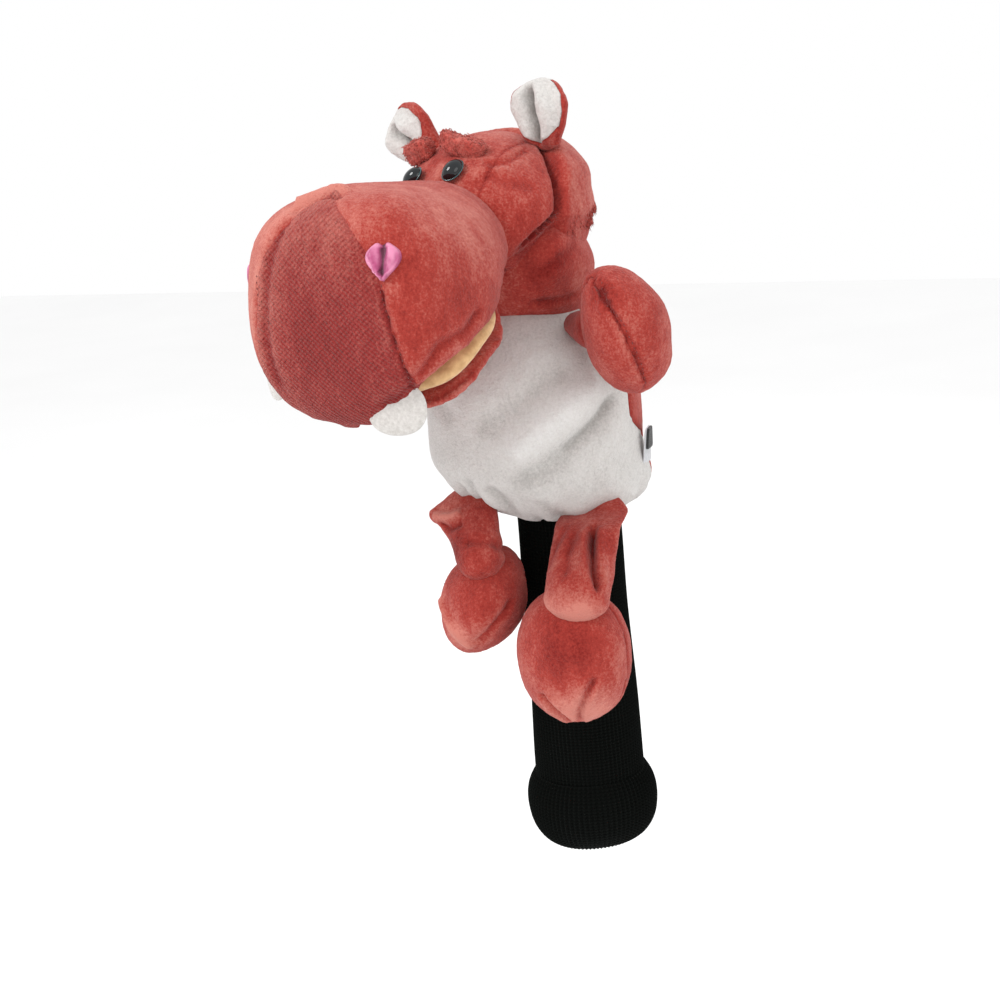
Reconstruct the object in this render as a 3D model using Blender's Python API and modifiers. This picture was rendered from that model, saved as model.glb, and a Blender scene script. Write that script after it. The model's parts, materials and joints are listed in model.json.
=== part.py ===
"""Plush hippopotamus head cover for a golf driver.

A stuffed animal whose hollow, padded body is the pocket for the club head. A long knitted sock hangs
below it and grips the shaft with an elastic cuff. Every fabric panel, filling, felt piece, eye and
washer is its own solid. +Z runs up the sock, the animal faces -Y, and its left side is +X.
Sizes are in millimetres here; MM turns them into Blender's metres.
"""

import math

import bmesh
import bpy
from mathutils import Matrix, Vector

MM = 0.001
GAP = 0.3            # air between neighbouring solids
PLUSH = 2.2          # thickness of a plush panel, backing and pile
CLEAR = 1.4          # room around pieces that turn

# --- sock and cuff -----------------------------------------------------------------------------
SOCK_TOP_Z = 232.0
SOCK_BOTTOM_Z = 44.0
SOCK_TOP_R = 31.0
SOCK_BOTTOM_R = 34.0
SOCK_WALL = 2.4
CUFF_BULGE_R = 40.5
CUFF_BULGE_Z = 27.0
CUFF_MOUTH_R = 25.0
CUFF_WALL = 4.6
ELASTIC_WIDTH = 5.0
ELASTIC_THICK = 2.6

# --- body --------------------------------------------------------------------------------------
BODY_X, BODY_Y, BODY_Z = -14.0, -7.0, 284.0
BODY_R = 67.0
BODY_UP = 74.0       # from the middle to the top
BODY_DOWN = 69.0     # from the middle to the hem
BODY_LEAN_Z = (226.0, 262.0)   # the body moves over from the sock's axis between these heights
PADDING = 5.0
LINER = 1.4

# --- neck and head: heights are from the cuff, the rest is from the neck's centre ---------------
NECK_Z = 368.0
NECK_R = 42.0        # round about the nodding axis
NECK_HALF_WIDTH = 47.0
HEAD_TURN = math.radians(-11.5)
HEAD_SHIFT = -9.0    # the head's middle plane lies this far to the animal's right of the neck
HEAD_FORE = 8.0      # the head's own zero lies this far in front of the neck
SKULL_Z = 404.0
SKULL_RADII = (58.0, 60.0, 50.0)
CROWN_HALF_WIDTH = 26.0

# --- muzzle: f is the distance forward from the head's zero ------------------------------------
MUZZLE_MID_F = 100.0
MUZZLE_HALF_LENGTH = 64.0
MUZZLE_SEAM_F = 156.0
PALATE_F, PALATE_Z = 100.0, 357.0
PALATE_PITCH = math.radians(26.0)
LIP_F = 148.0        # the upper lip hangs down in front of the jaw from here
JAW_F, JAW_Z = 62.0, 358.0
JAW_LENGTH = 92.0
JAW_HALF_WIDTH = 63.0
JAW_HALF_THICK = 9.5
JAW_TOP = 2.6        # height of the jaw's flat top over its middle

# --- face --------------------------------------------------------------------------------------
EYE_R = 7.4
EYE_DOME = 4.6
EYE_STEM_R = 1.8
EYE_STEM = 12.0
WASHER_R = 7.0
WASHER_THICK = 1.6
TOOTH_HALF = (16.0, 4.0, 15.0)

# --- limbs -------------------------------------------------------------------------------------
PAW_RADII = (27.0, 27.0, 40.0)
FOOT_RADII = (36.0, 30.0, 42.0)
ARM_ROOT_R = 50.5
ARM_ROOT_Z = 340.0
ARM_SLEEVE = 22.0
THIGH_ROOT = (20.0, 2.6)
THIGH_END = (21.0, 14.0)
EAR_HALF_WIDTH = 16.5
EAR_HEIGHT = 24.0    # from the root to the widest place
EAR_THICK = 10.0
EAR_FACING = 30.0

COLOURS = {
    "plush_coral": ((0.52, 0.075, 0.058), 0.9, 0.0),
    "plush_coral_face": ((0.44, 0.07, 0.065), 0.9, 0.0),
    "plush_white": ((0.74, 0.73, 0.71), 0.9, 0.0),
    "lining_tan": ((0.66, 0.43, 0.2), 0.85, 0.0),
    "felt_white": ((0.68, 0.67, 0.65), 0.95, 0.0),
    "satin_pink": ((0.68, 0.17, 0.31), 0.4, 0.0),
    "eye_black": ((0.006, 0.01, 0.012), 0.12, 0.0),
    "washer_nylon": ((0.8, 0.8, 0.78), 0.5, 0.0),
    "knit_black": ((0.008, 0.008, 0.008), 0.95, 0.0),
    "elastic": ((0.03, 0.03, 0.03), 0.8, 0.0),
    "filling": ((0.85, 0.85, 0.83), 1.0, 0.0),
    "pocket_fleece": ((0.05, 0.05, 0.055), 0.95, 0.0),
    "label_satin": ((0.8, 0.8, 0.82), 0.45, 0.0),
    "loop_black": ((0.012, 0.012, 0.012), 0.7, 0.0),
}


# --- scene helpers -----------------------------------------------------------------------------
def clear_scene():
    for obj in list(bpy.data.objects):
        bpy.data.objects.remove(obj)


def collection(name):
    made = bpy.data.collections.new(name)
    bpy.context.scene.collection.children.link(made)
    return made


def material(name):
    found = bpy.data.materials.get(name)
    if found:
        return found
    colour, roughness, metallic = COLOURS[name]
    made = bpy.data.materials.new(name)
    made.use_nodes = True
    shader = made.node_tree.nodes["Principled BSDF"]
    shader.inputs["Base Color"].default_value = (*colour, 1)
    shader.inputs["Roughness"].default_value = roughness
    shader.inputs["Metallic"].default_value = metallic
    return made


def empty(name, location, turn=None, parent=None):
    """A pivot at a place in millimetres, in the parent's axes."""
    pivot = bpy.data.objects.new(name, None)
    PARTS.objects.link(pivot)
    pivot.parent = parent
    pivot.matrix_local = Matrix.Translation(Vector(location) * MM) @ (turn or Matrix.Identity(4))
    return pivot


def add(name, bm, slot, parent, cutter=False):
    mesh = bpy.data.meshes.new(name)
    bm.to_mesh(mesh)
    bm.free()
    mesh.shade_smooth()
    mesh.set_sharp_from_angle(angle=math.radians(50))
    obj = bpy.data.objects.new(name, mesh)
    obj.parent = parent
    if cutter:
        CUTTERS.objects.link(obj)
        obj.hide_render = True
        obj.display_type = "WIRE"
    else:
        PARTS.objects.link(obj)
        mesh.materials.append(material(slot))
    return obj


def cut(obj, *cutters):
    for cutter in cutters:
        modifier = obj.modifiers.new("cut_" + cutter.name[:40], "BOOLEAN")
        modifier.operation = "DIFFERENCE"
        modifier.solver = "EXACT"
        modifier.object = cutter
    return obj


# --- shapes ------------------------------------------------------------------------------------
def ball(name, shape, slot, parent=None, segments=16, rings=10, cutter=False):
    """A sphere primitive whose unit vertices are moved by shape, which answers in millimetres."""
    bm = bmesh.new()
    bmesh.ops.create_uvsphere(bm, u_segments=segments, v_segments=rings, radius=1)
    for vert in bm.verts:
        vert.co = shape(vert.co.normalized()) * MM
    return add(name, bm, slot, parent, cutter)


def block(name, low, high, slot=None, parent=None, turn=None):
    """A box from corner to corner: a part where a slot is given, and a cutter where it isn't."""
    low, high = Vector(low), Vector(high)
    bm = bmesh.new()
    bmesh.ops.create_cube(bm, size=1)
    for vert in bm.verts:
        point = Vector(high[k] if vert.co[k] > 0 else low[k] for k in range(3))
        vert.co = (turn @ point if turn else point) * MM
    return add(name, bm, slot, parent, cutter=slot is None)


def rod(name, centre, direction, radius, length, slot=None, parent=None, segments=12):
    bm = bmesh.new()
    bmesh.ops.create_cone(bm, cap_ends=True, segments=segments, radius1=radius * MM,
                          radius2=radius * MM, depth=length * MM)
    turn = Vector(direction).to_track_quat("Z", "Y").to_matrix().to_4x4()
    bm.transform(Matrix.Translation(Vector(centre) * MM) @ turn)
    return add(name, bm, slot, parent, cutter=slot is None)


def turned(name, profile, slot, steps=24):
    """A closed profile of (radius, height) points, turned about Z."""
    bm = bmesh.new()
    verts = [bm.verts.new((r * MM, 0, z * MM)) for r, z in profile]
    for first, second in zip(verts, verts[1:] + verts[:1]):
        bm.edges.new((first, second))
    obj = add(name, bm, slot, None)
    screw = obj.modifiers.new("turn", "SCREW")
    screw.steps = steps
    screw.render_steps = steps
    screw.use_merge_vertices = True
    screw.merge_threshold = 0.0001
    return obj


def smooth_step(value, low, high):
    t = min(1.0, max(0.0, (value - low) / (high - low)))
    return t * t * (3 - 2 * t)


def around(u):
    """The direction of a unit vector about Z. At a pole any direction will do."""
    ring = math.hypot(u.x, u.y)
    return (u.x / ring, u.y / ring) if ring > 1e-6 else (1.0, 0.0)


def egg(centre, radii, power=2.0, turn=None):
    """An ellipsoid, or a boxier form with power above 2."""
    centre, radii = Vector(centre), Vector(radii)

    def shape(u):
        k = sum(abs(c) ** power for c in u) ** (-1 / power)
        point = Vector(u[i] * k * radii[i] for i in range(3))
        return centre + (turn @ point if turn else point)

    return shape


def shrunk(radii, inset):
    return tuple(r - inset for r in radii)


def body_shape(inset):
    """The body's bag, this far inside its outer face."""
    def shape(u):
        power = 2.2 if u.z > 0 else 3.0
        ring = math.hypot(u.x, u.y)
        k = (ring ** power + abs(u.z) ** power) ** (-1 / power)
        z = BODY_Z + u.z * k * ((BODY_UP if u.z > 0 else BODY_DOWN) - inset)
        lean = smooth_step(z, *BODY_LEAN_Z)
        reach = k * (BODY_R - inset)
        return Vector((BODY_X * lean + u.x * reach, BODY_Y * lean + u.y * reach, z))

    return shape


def head_point(w, f, z):
    """From the head's own sideways, forward and height measures to the neck pivot's axes."""
    return Vector((HEAD_SHIFT + w, -(HEAD_FORE + f), z - NECK_Z))


def neck_shape(inset):
    return egg((0, 0, 0), (NECK_HALF_WIDTH - inset, NECK_R - inset, NECK_R - inset))


def skull_shape(inset):
    """The back of the head, which narrows towards the crown."""
    form = egg(Vector((0, 0, 0)), shrunk(SKULL_RADII, inset), power=2.15)

    def shape(u):
        point = form(u)
        point.x *= 1 - 0.13 * smooth_step(u.z, 0.0, 1.0)
        return point + head_point(0, 2, SKULL_Z)

    return shape


def muzzle_shape(inset):
    """A bulb along f that is widest and tallest in front. Its cross-section is a soft box."""
    def shape(u):
        forward, power, box = u.z, 3.6, 2.3
        f = MUZZLE_MID_F + (MUZZLE_HALF_LENGTH - inset) * forward
        full = (1 - min(1.0, abs(forward)) ** power) ** (1 / power)
        side, up = around(u)
        k = (abs(side) ** box + abs(up) ** box) ** (-1 / box)
        half_width = (58 + 18 * smooth_step(f, 50, 110)) * (1 - 0.1 * up) - inset
        top = 432 + 14 * smooth_step(f, 80, 150) - inset
        bottom = 335 - 36 * smooth_step(f, 55, 140) + inset
        middle, half_height = (top + bottom) / 2, (top - bottom) / 2
        return head_point(side * k * full * half_width, f, middle + up * k * full * half_height)

    return shape


def limb(length, root, end, turn, grow=0.0):
    """A sleeve along +Z from a flat sewn root to a round end that is centred at length.

    root and end are half width and half thickness. The end is round about the X axis."""
    def shape(u):
        if u.z >= 0:
            point = Vector((u.x * (end[0] + grow), u.y * (end[1] + grow),
                            length + u.z * (end[1] + grow)))
            return turn @ point
        ring = math.hypot(u.x, u.y)
        side, up = around(u)
        along = 1 + u.z
        swell = smooth_step(along, 0.0, 1.0)
        width = root[0] + (end[0] - root[0]) * swell + grow
        thick = root[1] + (end[1] - root[1]) * swell + grow
        rim = min(1.0, 1.7 * ring)
        start = -grow if along < 0.3 else 0.0
        return turn @ Vector((side * rim * width, up * rim * thick, along * length + start))

    return shape


def on_surface(shape, u):
    """The point of a shape in direction u, and its outward normal, by finite differences."""
    u = Vector(u).normalized()
    side = u.orthogonal().normalized()
    other = u.cross(side)
    step = 0.01
    here = shape(u)
    first = shape((u + side * step).normalized()) - here
    second = shape((u + other * step).normalized()) - here
    return here, first.cross(second).normalized()


def half_space(name, face, parent, reach=200):
    """A cutter that takes away all of one side: face is the axis, its sign, and where it starts."""
    axis, sign, start = face
    low, high = [-reach] * 3, [reach] * 3
    if sign > 0:
        low[axis] = start
        high[axis] = start + reach
    else:
        high[axis] = start
        low[axis] = start - reach
    return block(name, low, high, parent=parent)


# --- the pieces --------------------------------------------------------------------------------
def make_sock():
    taper = SOCK_BOTTOM_R - SOCK_TOP_R
    heights = [SOCK_TOP_Z, 200.0, 130.0, 80.0, SOCK_BOTTOM_Z]
    span = SOCK_TOP_Z - SOCK_BOTTOM_Z
    outer = [(SOCK_TOP_R + taper * smooth_step(SOCK_TOP_Z - z, 0, span), z) for z in heights]
    inner = [(r - SOCK_WALL, z) for r, z in reversed(outer)]
    turned("knit_sock", outer + inner, "knit_black")


def make_cuff():
    top = SOCK_BOTTOM_Z - GAP
    outer = [(SOCK_BOTTOM_R + 0.4, top), (38.6, 37.0), (CUFF_BULGE_R, CUFF_BULGE_Z), (39.0, 14.0),
             (34.0, 4.5), (28.5, 0.0)]
    channel_r = CUFF_MOUTH_R + ELASTIC_THICK + 1.4
    channel_top = 3.0 + ELASTIC_WIDTH + 2 * GAP
    inner = [(CUFF_MOUTH_R, 0.0), (CUFF_MOUTH_R, 3.0), (channel_r, 3.0), (channel_r, channel_top),
             (CUFF_MOUTH_R + 1.0, channel_top), (39.0 - CUFF_WALL, 15.0),
             (CUFF_BULGE_R - CUFF_WALL, CUFF_BULGE_Z), (SOCK_BOTTOM_R - SOCK_WALL, top)]
    turned("knit_cuff", outer + inner, "knit_black")
    ring_out = channel_r - GAP
    ring_in = ring_out - ELASTIC_THICK
    low, high = 3.0 + GAP, channel_top - GAP
    ring = [(ring_out, high), (ring_out, low), (ring_in, low), (ring_in, high)]
    turned("cuff_elastic", ring, "elastic")


def make_body():
    fine = {"segments": 24, "rings": 14}

    def layer(name, slot, inset, thickness):
        inside = ball(name + "_inside", body_shape(inset + thickness), None, cutter=True, **fine)
        return cut(ball(name, body_shape(inset), slot, **fine), inside, hem_hole)

    hem_hole = rod("hem_hole", (0, 0, 230), (0, 0, 1), SOCK_TOP_R + 0.9, 60, segments=24)
    seam = BODY_Y - 1.0
    front = half_space("in_front_of_side_seam", (1, -1, seam + GAP / 2), None, reach=400)
    behind = half_space("behind_side_seam", (1, 1, seam - GAP / 2), None, reach=400)
    cut(layer("belly_panel", "plush_white", 0, PLUSH), behind)
    cut(layer("back_panel", "plush_coral", 0, PLUSH), front)
    layer("body_padding", "filling", PLUSH + GAP, PADDING)
    layer("pocket_liner", "pocket_fleece", PLUSH + PADDING + 2 * GAP, LINER)


def make_neck(pivot):
    body_room = ball("body_room", body_shape(-CLEAR), None, segments=24, rings=14, cutter=True)
    inside = ball("neck_inside", neck_shape(PLUSH), None, pivot, 20, 12, cutter=True)
    cut(ball("neck_panel", neck_shape(0), "plush_coral", pivot, 20, 12), inside, body_room)
    cut(ball("neck_filling", neck_shape(PLUSH + 1.0), "filling", pivot, 16, 10), body_room)


def eye_frame(side):
    """Where an eye sits on the skull, and which way it looks."""
    return on_surface(skull_shape(0), (side * 0.225, -0.78, 0.585))


def make_head(pivot):
    neck_room = ball("neck_room", neck_shape(-CLEAR), None, pivot, 20, 12, cutter=True)
    inside = ball("skull_inside", skull_shape(PLUSH), None, pivot, 20, 12, cutter=True)
    stems = []
    pockets = []
    for side, word in ((1, "left"), (-1, "right")):
        point, normal = eye_frame(side)
        stems.append(rod("stem_hole_" + word, point, normal, EYE_STEM_R + 0.5, 30, parent=pivot))
        deep = point - normal * (EYE_STEM + 2) / 2
        pockets.append(rod("washer_room_" + word, deep, normal, WASHER_R + 0.8, EYE_STEM + 3,
                           parent=pivot))
    half = CROWN_HALF_WIDTH
    left = half_space("left_of_crown", (0, 1, HEAD_SHIFT + half - GAP / 2), pivot)
    not_left = half_space("right_of_left_seam", (0, -1, HEAD_SHIFT + half + GAP / 2), pivot)
    right = half_space("right_of_crown", (0, -1, HEAD_SHIFT - half + GAP / 2), pivot)
    not_right = half_space("left_of_right_seam", (0, 1, HEAD_SHIFT - half - GAP / 2), pivot)
    panels = (("head_crown", (left, right)), ("head_side_left", (not_left,)),
              ("head_side_right", (not_right,)))
    for name, sides in panels:
        panel = ball(name, skull_shape(0), "plush_coral", pivot, 20, 12)
        cut(panel, inside, neck_room, *sides)
        if name == "head_crown":
            cut(panel, *stems)
    filling = ball("head_filling", skull_shape(PLUSH + 1.0), "filling", pivot, 16, 10)
    cut(filling, neck_room, *pockets)


def make_eyes(pivot):
    for side, word in ((1, "left"), (-1, "right")):
        point, normal = eye_frame(side)
        dome = ball("eye_" + word, egg((0, 0, 0), (EYE_R, EYE_R, EYE_DOME * 1.5)), "eye_black",
                    pivot, 14, 8)
        look = normal.to_track_quat("Z", "Y").to_matrix().to_4x4()
        seat = point + normal * 0.9
        place = Matrix.Translation(seat * MM) @ look
        dome.matrix_local = place
        flat = half_space("eye_seat_" + word, (2, -1, 0.0), pivot, reach=30)
        flat.matrix_local = place
        stem = rod("eye_stem_" + word, point - normal * (EYE_STEM / 2 - 1.4), normal, EYE_STEM_R,
                   EYE_STEM, parent=pivot)
        cut(dome, flat)
        joined = dome.modifiers.new("stem", "BOOLEAN")
        joined.operation = "UNION"
        joined.solver = "EXACT"
        joined.object = stem
        middle = point - normal * (PLUSH + 3.4)
        washer = rod("eye_washer_" + word, middle, normal, WASHER_R, WASHER_THICK, "washer_nylon",
                     pivot, segments=14)
        bore = rod("washer_bore_" + word, middle, normal, EYE_STEM_R + 0.15, 20, parent=pivot)
        cut(washer, bore)


def make_brows(pivot):
    skull_room = ball("brow_room", skull_shape(-GAP), None, pivot, 20, 12, cutter=True)
    for side, word in ((1, "left"), (-1, "right")):
        point, normal = on_surface(skull_shape(0), (side * 0.3, -0.58, 0.78))
        turn = normal.to_track_quat("Z", "Y").to_matrix()
        slant = Matrix.Rotation(math.radians(-18 * side), 3, "Z")
        brow = ball("brow_" + word, egg(point + normal, (15, 7, 7.5), 2.4, turn @ slant),
                    "plush_coral", pivot, 14, 8)
        cut(brow, skull_room)


def palate_height(f, drop=0.0):
    return PALATE_Z - (f - PALATE_F) * math.tan(PALATE_PITCH) - drop


def prism(name, outline, pivot):
    """A cutter as wide as the head, with a side view of (f, height) points in clockwise order."""
    bm = bmesh.new()
    near, far = ([bm.verts.new(head_point(w, f, z) * MM) for f, z in outline] for w in (-150, 150))
    bm.faces.new(reversed(near))
    bm.faces.new(far)
    for k in range(len(outline)):
        bm.faces.new((near[k - 1], near[k], far[k], far[k - 1]))
    return add(name, bm, None, pivot, cutter=True)


def keep_inside(obj, cutter):
    modifier = obj.modifiers.new("keep_" + cutter.name[:40], "BOOLEAN")
    modifier.operation = "INTERSECT"
    modifier.solver = "EXACT"
    modifier.object = cutter


def make_muzzle(pivot):
    fine = {"segments": 24, "rings": 16}
    skull_room = ball("muzzle_skull_room", skull_shape(-GAP), None, pivot, 20, 12, cutter=True)
    neck_room = ball("muzzle_neck_room", neck_shape(-CLEAR), None, pivot, 20, 12, cutter=True)
    inside = ball("muzzle_inside", muzzle_shape(PLUSH), None, pivot, cutter=True, **fine)
    mouth = prism("mouth_room", [(-50, palate_height(-50)), (LIP_F, palate_height(LIP_F)),
                                 (LIP_F, 200), (-50, 200)], pivot)
    seam = -(HEAD_FORE + MUZZLE_SEAM_F)
    ahead = half_space("ahead_of_muzzle_seam", (1, -1, seam + GAP / 2), pivot)
    behind = half_space("behind_muzzle_seam", (1, 1, seam - GAP / 2), pivot)
    front = ball("muzzle_front", muzzle_shape(0), "plush_coral_face", pivot, **fine)
    cut(front, inside, behind)
    wrap = ball("muzzle_wrap", muzzle_shape(0), "plush_coral", pivot, **fine)
    cut(wrap, inside, mouth, ahead, skull_room, neck_room)
    filling = ball("muzzle_filling", muzzle_shape(PLUSH + 1.0), "filling", pivot, 18, 12)
    cut(filling, mouth, skull_room, neck_room)
    sheet, edge = 1.4, LIP_F - GAP
    profile = [(-50, palate_height(-50, GAP)), (edge, palate_height(edge, GAP)), (edge, 316),
               (edge - sheet, 316), (edge - sheet, palate_height(edge - sheet, GAP + sheet)),
               (-50, palate_height(-50, GAP + sheet))]
    lining = ball("palate_lining", muzzle_shape(4.5), "lining_tan", pivot, 20, 12)
    cut(lining, skull_room, neck_room)
    keep_inside(lining, prism("palate_sheet", profile, pivot))


def make_nostrils(pivot):
    muzzle_room = ball("nostril_room", muzzle_shape(-GAP), None, pivot, 24, 16, cutter=True)
    for word, place in (("left", (0.34, 0.2, 0.92)), ("right", (-0.8, 0.2, 0.55))):
        point, normal = on_surface(muzzle_shape(0), place)
        turn = normal.to_track_quat("Z", "Y").to_matrix()
        patch = ball("nostril_" + word, egg(point, (7.0, 9.0, 2.8), 2.0, turn), "satin_pink",
                     pivot, 12, 8)
        cut(patch, muzzle_room)


def make_teeth(pivot):
    """Two flat felt half-rounds sewn under the lip. The left one sits nearer the middle."""
    lip_room = ball("tooth_lip_room", muzzle_shape(-GAP), None, pivot, 24, 16, cutter=True)
    for side, w, z, word in ((1, 43, 318, "left"), (-1, 56, 323, "right")):
        turn = Matrix.Rotation(math.radians(22 * side), 3, "Z")
        centre = head_point(side * w, 154, z)
        cut(ball("tooth_" + word, egg(centre, TOOTH_HALF, 2.3, turn), "felt_white", pivot, 14, 8),
            lip_room)


def make_jaw(head):
    pivot = empty("jaw_pivot", head_point(0, JAW_F, JAW_Z), Matrix.Rotation(PALATE_PITCH, 4, "X"),
                  head)
    half = JAW_LENGTH / 2
    radii = (JAW_HALF_WIDTH, half, JAW_HALF_THICK)
    centre = (0, -half + 4, 0)
    inside = ball("jaw_inside", egg(centre, shrunk(radii, PLUSH), 2.6), None, pivot, 20, 10, True)
    top = half_space("over_jaw", (2, 1, JAW_TOP), pivot)
    cut(ball("jaw_panel", egg(centre, radii, 2.6), "plush_coral", pivot, 20, 10), inside, top)
    filling = egg(centre, shrunk(radii, PLUSH + 1.0), 2.6)
    cut(ball("jaw_filling", filling, "filling", pivot, 16, 8), top)
    lining = ball("jaw_lining", egg(centre, shrunk(radii, 3.0), 2.6), "lining_tan", pivot,
                  20, 10)
    cut(lining, half_space("over_jaw_lining", (2, 1, JAW_TOP + GAP + 1.4), pivot),
        half_space("under_jaw_lining", (2, -1, JAW_TOP + GAP), pivot))


def make_ear(head, word, side, place, lean):
    """An ear of two leaves, a coral back and a white lining, sewn together at the rim."""
    root, normal = on_surface(skull_shape(0), place)
    facing = Matrix.Rotation(math.radians(EAR_FACING * side), 4, "Z")
    tip = Matrix.Rotation(math.radians(lean * side), 4, "Y")
    pivot = empty(f"ear_{word}_pivot", root + normal * 3.0, tip @ facing, head)
    end = (EAR_HALF_WIDTH, EAR_THICK / 2)
    leaf = limb(EAR_HEIGHT, (9.0, 2.4), end, Matrix.Identity(3))

    def grown(u):
        """The leaf's tip is a half circle as wide as the ear."""
        point = leaf(u)
        if u.z > 0:
            point.z = EAR_HEIGHT + u.z * EAR_HALF_WIDTH * 0.9
        return point

    back = ball(f"ear_{word}_back", grown, "plush_coral", pivot, 14, 10)
    cut(back, half_space(f"ear_{word}_front_room", (1, -1, -0.4 + GAP), pivot, reach=100))
    lining = ball(f"ear_{word}_lining", grown, "plush_white", pivot, 14, 10)
    cut(lining, half_space(f"ear_{word}_back_room", (1, 1, -0.4), pivot, reach=100))


def make_stuffed(name, centre, radii, turn, pivot, panels, room):
    """A filled egg whose skin is two panels that meet in a seam across the egg's own Y axis."""
    inside = ball(name + "_inside", egg(centre, shrunk(radii, PLUSH), 2.15, turn), None, pivot,
                  14, 10, cutter=True)
    for sign, panel in zip((1, -1), panels):
        low, high = [-100.0] * 3, [100.0] * 3
        if sign > 0:
            low[1] = -GAP / 2
        else:
            high[1] = GAP / 2
        other_half = block(f"{name}_not_{panel}", low, high, parent=pivot, turn=turn.to_4x4())
        other_half.matrix_local = Matrix.Translation(Vector(centre) * MM)
        skin = ball(f"{name}_{panel}", egg(centre, radii, 2.15, turn), "plush_coral", pivot, 14, 10)
        cut(skin, inside, other_half, room)
    core = egg(centre, shrunk(radii, PLUSH + 1.3), 2.15, turn)
    cut(ball(name + "_filling", core, "filling", pivot, 12, 8), room)


def make_arm(word, side, forward, slant):
    """forward turns the arm to the front, and slant tips the paw's long axis."""
    heading = math.radians(forward)
    root = Vector((BODY_X + side * math.cos(heading) * ARM_ROOT_R,
                   BODY_Y - math.sin(heading) * ARM_ROOT_R, ARM_ROOT_Z))
    # the pivot's X runs along the arm and its Y is the axis that the arm swings about
    heading_turn = Matrix.Rotation(-heading if side > 0 else math.pi + heading, 4, "Z")
    pivot = empty(f"arm_{word}_pivot", root, heading_turn)
    # the sleeve's own Z runs along the arm, and its flat root lies level
    frame = Matrix(((0, 0, 1), (1, 0, 0), (0, 1, 0)))
    end = (17, 13)
    ball(f"arm_{word}_sleeve", limb(ARM_SLEEVE, (13, 2.4), end, frame), "plush_coral", pivot,
         14, 10)
    room = ball(f"arm_{word}_sleeve_room", limb(ARM_SLEEVE, (13, 2.4), end, frame, GAP), None,
                pivot, 14, 10, cutter=True)
    paw = frame @ Vector((0, 0, ARM_SLEEVE + PAW_RADII[0] - 4))
    # the paw's own axes: X outward, Y across the seam, Z up
    own = Matrix.Rotation(math.radians(slant), 3, "X")
    make_stuffed(f"paw_{word}", paw, PAW_RADII, own, pivot, ("back", "palm"), room)


def make_leg(word, root, ankle, foot_centre, foot_turn):
    """The thigh is an empty sleeve sewn flat to the hem, and the foot is a filled egg below it."""
    pivot = empty(f"leg_{word}_pivot", root)
    run = Vector(ankle) - Vector(root)
    along = run.normalized()
    across = (Vector((1, 0, 0)) - along * along.x).normalized()
    turn = Matrix((across, along.cross(across), along)).transposed()
    ball(f"thigh_{word}", limb(run.length, THIGH_ROOT, THIGH_END, turn), "plush_coral", pivot,
         16, 10)
    ankle_pivot = empty(f"ankle_{word}_pivot", run, None, pivot)
    room = ball(f"ankle_{word}_room", egg((0, 0, 0), shrunk((THIGH_END[0], THIGH_END[1],
                THIGH_END[1]), -CLEAR), 2.0, turn), None, ankle_pivot, 16, 10, cutter=True)
    centre = Vector(foot_centre) - Vector(ankle)
    make_stuffed(f"foot_{word}", centre, FOOT_RADII, foot_turn, ankle_pivot, ("sole", "upper"),
                 room)


def make_labels():
    """A care label and a small loop, sewn into the side seam low on the back."""
    shape = body_shape(0)
    point, normal = on_surface(shape, (0.95, 0.2, -0.1))
    turn = normal.to_track_quat("X", "Z").to_matrix().to_4x4()
    for name, slot, start, size in (("care_label", "label_satin", 1.2, (0.8, 12.0, 16.0)),
                                    ("label_loop", "loop_black", 2.4, (1.2, 8.0, 8.0))):
        low = (start, -size[1] / 2, -size[2])
        high = (start + size[0], size[1] / 2, 0.0)
        obj = block(name, low, high, slot)
        obj.matrix_local = Matrix.Translation(point * MM) @ turn


clear_scene()
PARTS = collection("hippo_driver_cover")
CUTTERS = collection("cutters")

make_sock()
make_cuff()
make_body()
neck = empty("neck_pivot", (BODY_X, BODY_Y, NECK_Z), Matrix.Rotation(HEAD_TURN, 4, "Z"))
make_neck(neck)
make_head(neck)
make_eyes(neck)
make_brows(neck)
make_muzzle(neck)
make_nostrils(neck)
make_teeth(neck)
make_jaw(neck)
make_ear(neck, "left", 1, (0.58, 0.12, 0.7), 6)
make_ear(neck, "right", -1, (-0.74, 0.05, 0.6), 50)
make_arm("left", 1, 28, 12)
make_arm("right", -1, 4, 10)
make_leg("left", (31, -49, 227), (30, -60, 190), (25, -62, 146),
         Matrix.Rotation(math.radians(-4), 3, "X"))
make_leg("right", (-50, -45, 230), (-46, -49, 207), (-48, -51, 167),
         Matrix.Rotation(math.radians(-63), 3, "Z") @ Matrix.Rotation(math.radians(-24), 3, "Y"))
make_labels()
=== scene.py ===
"""Looks of the plush hippopotamus driver head cover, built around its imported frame.

Shapes are worked out in millimetres, in the row frame: +Z up the sock, the animal faces -Y.
Padded pieces start as closed forms, are inflated by cloth simulation, and then get their seams,
folds and puckers.
"""

import json
import math

import bmesh
import bpy
import numpy as np
from mathutils import Matrix, Vector, noise
from mathutils.bvhtree import BVHTree

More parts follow.
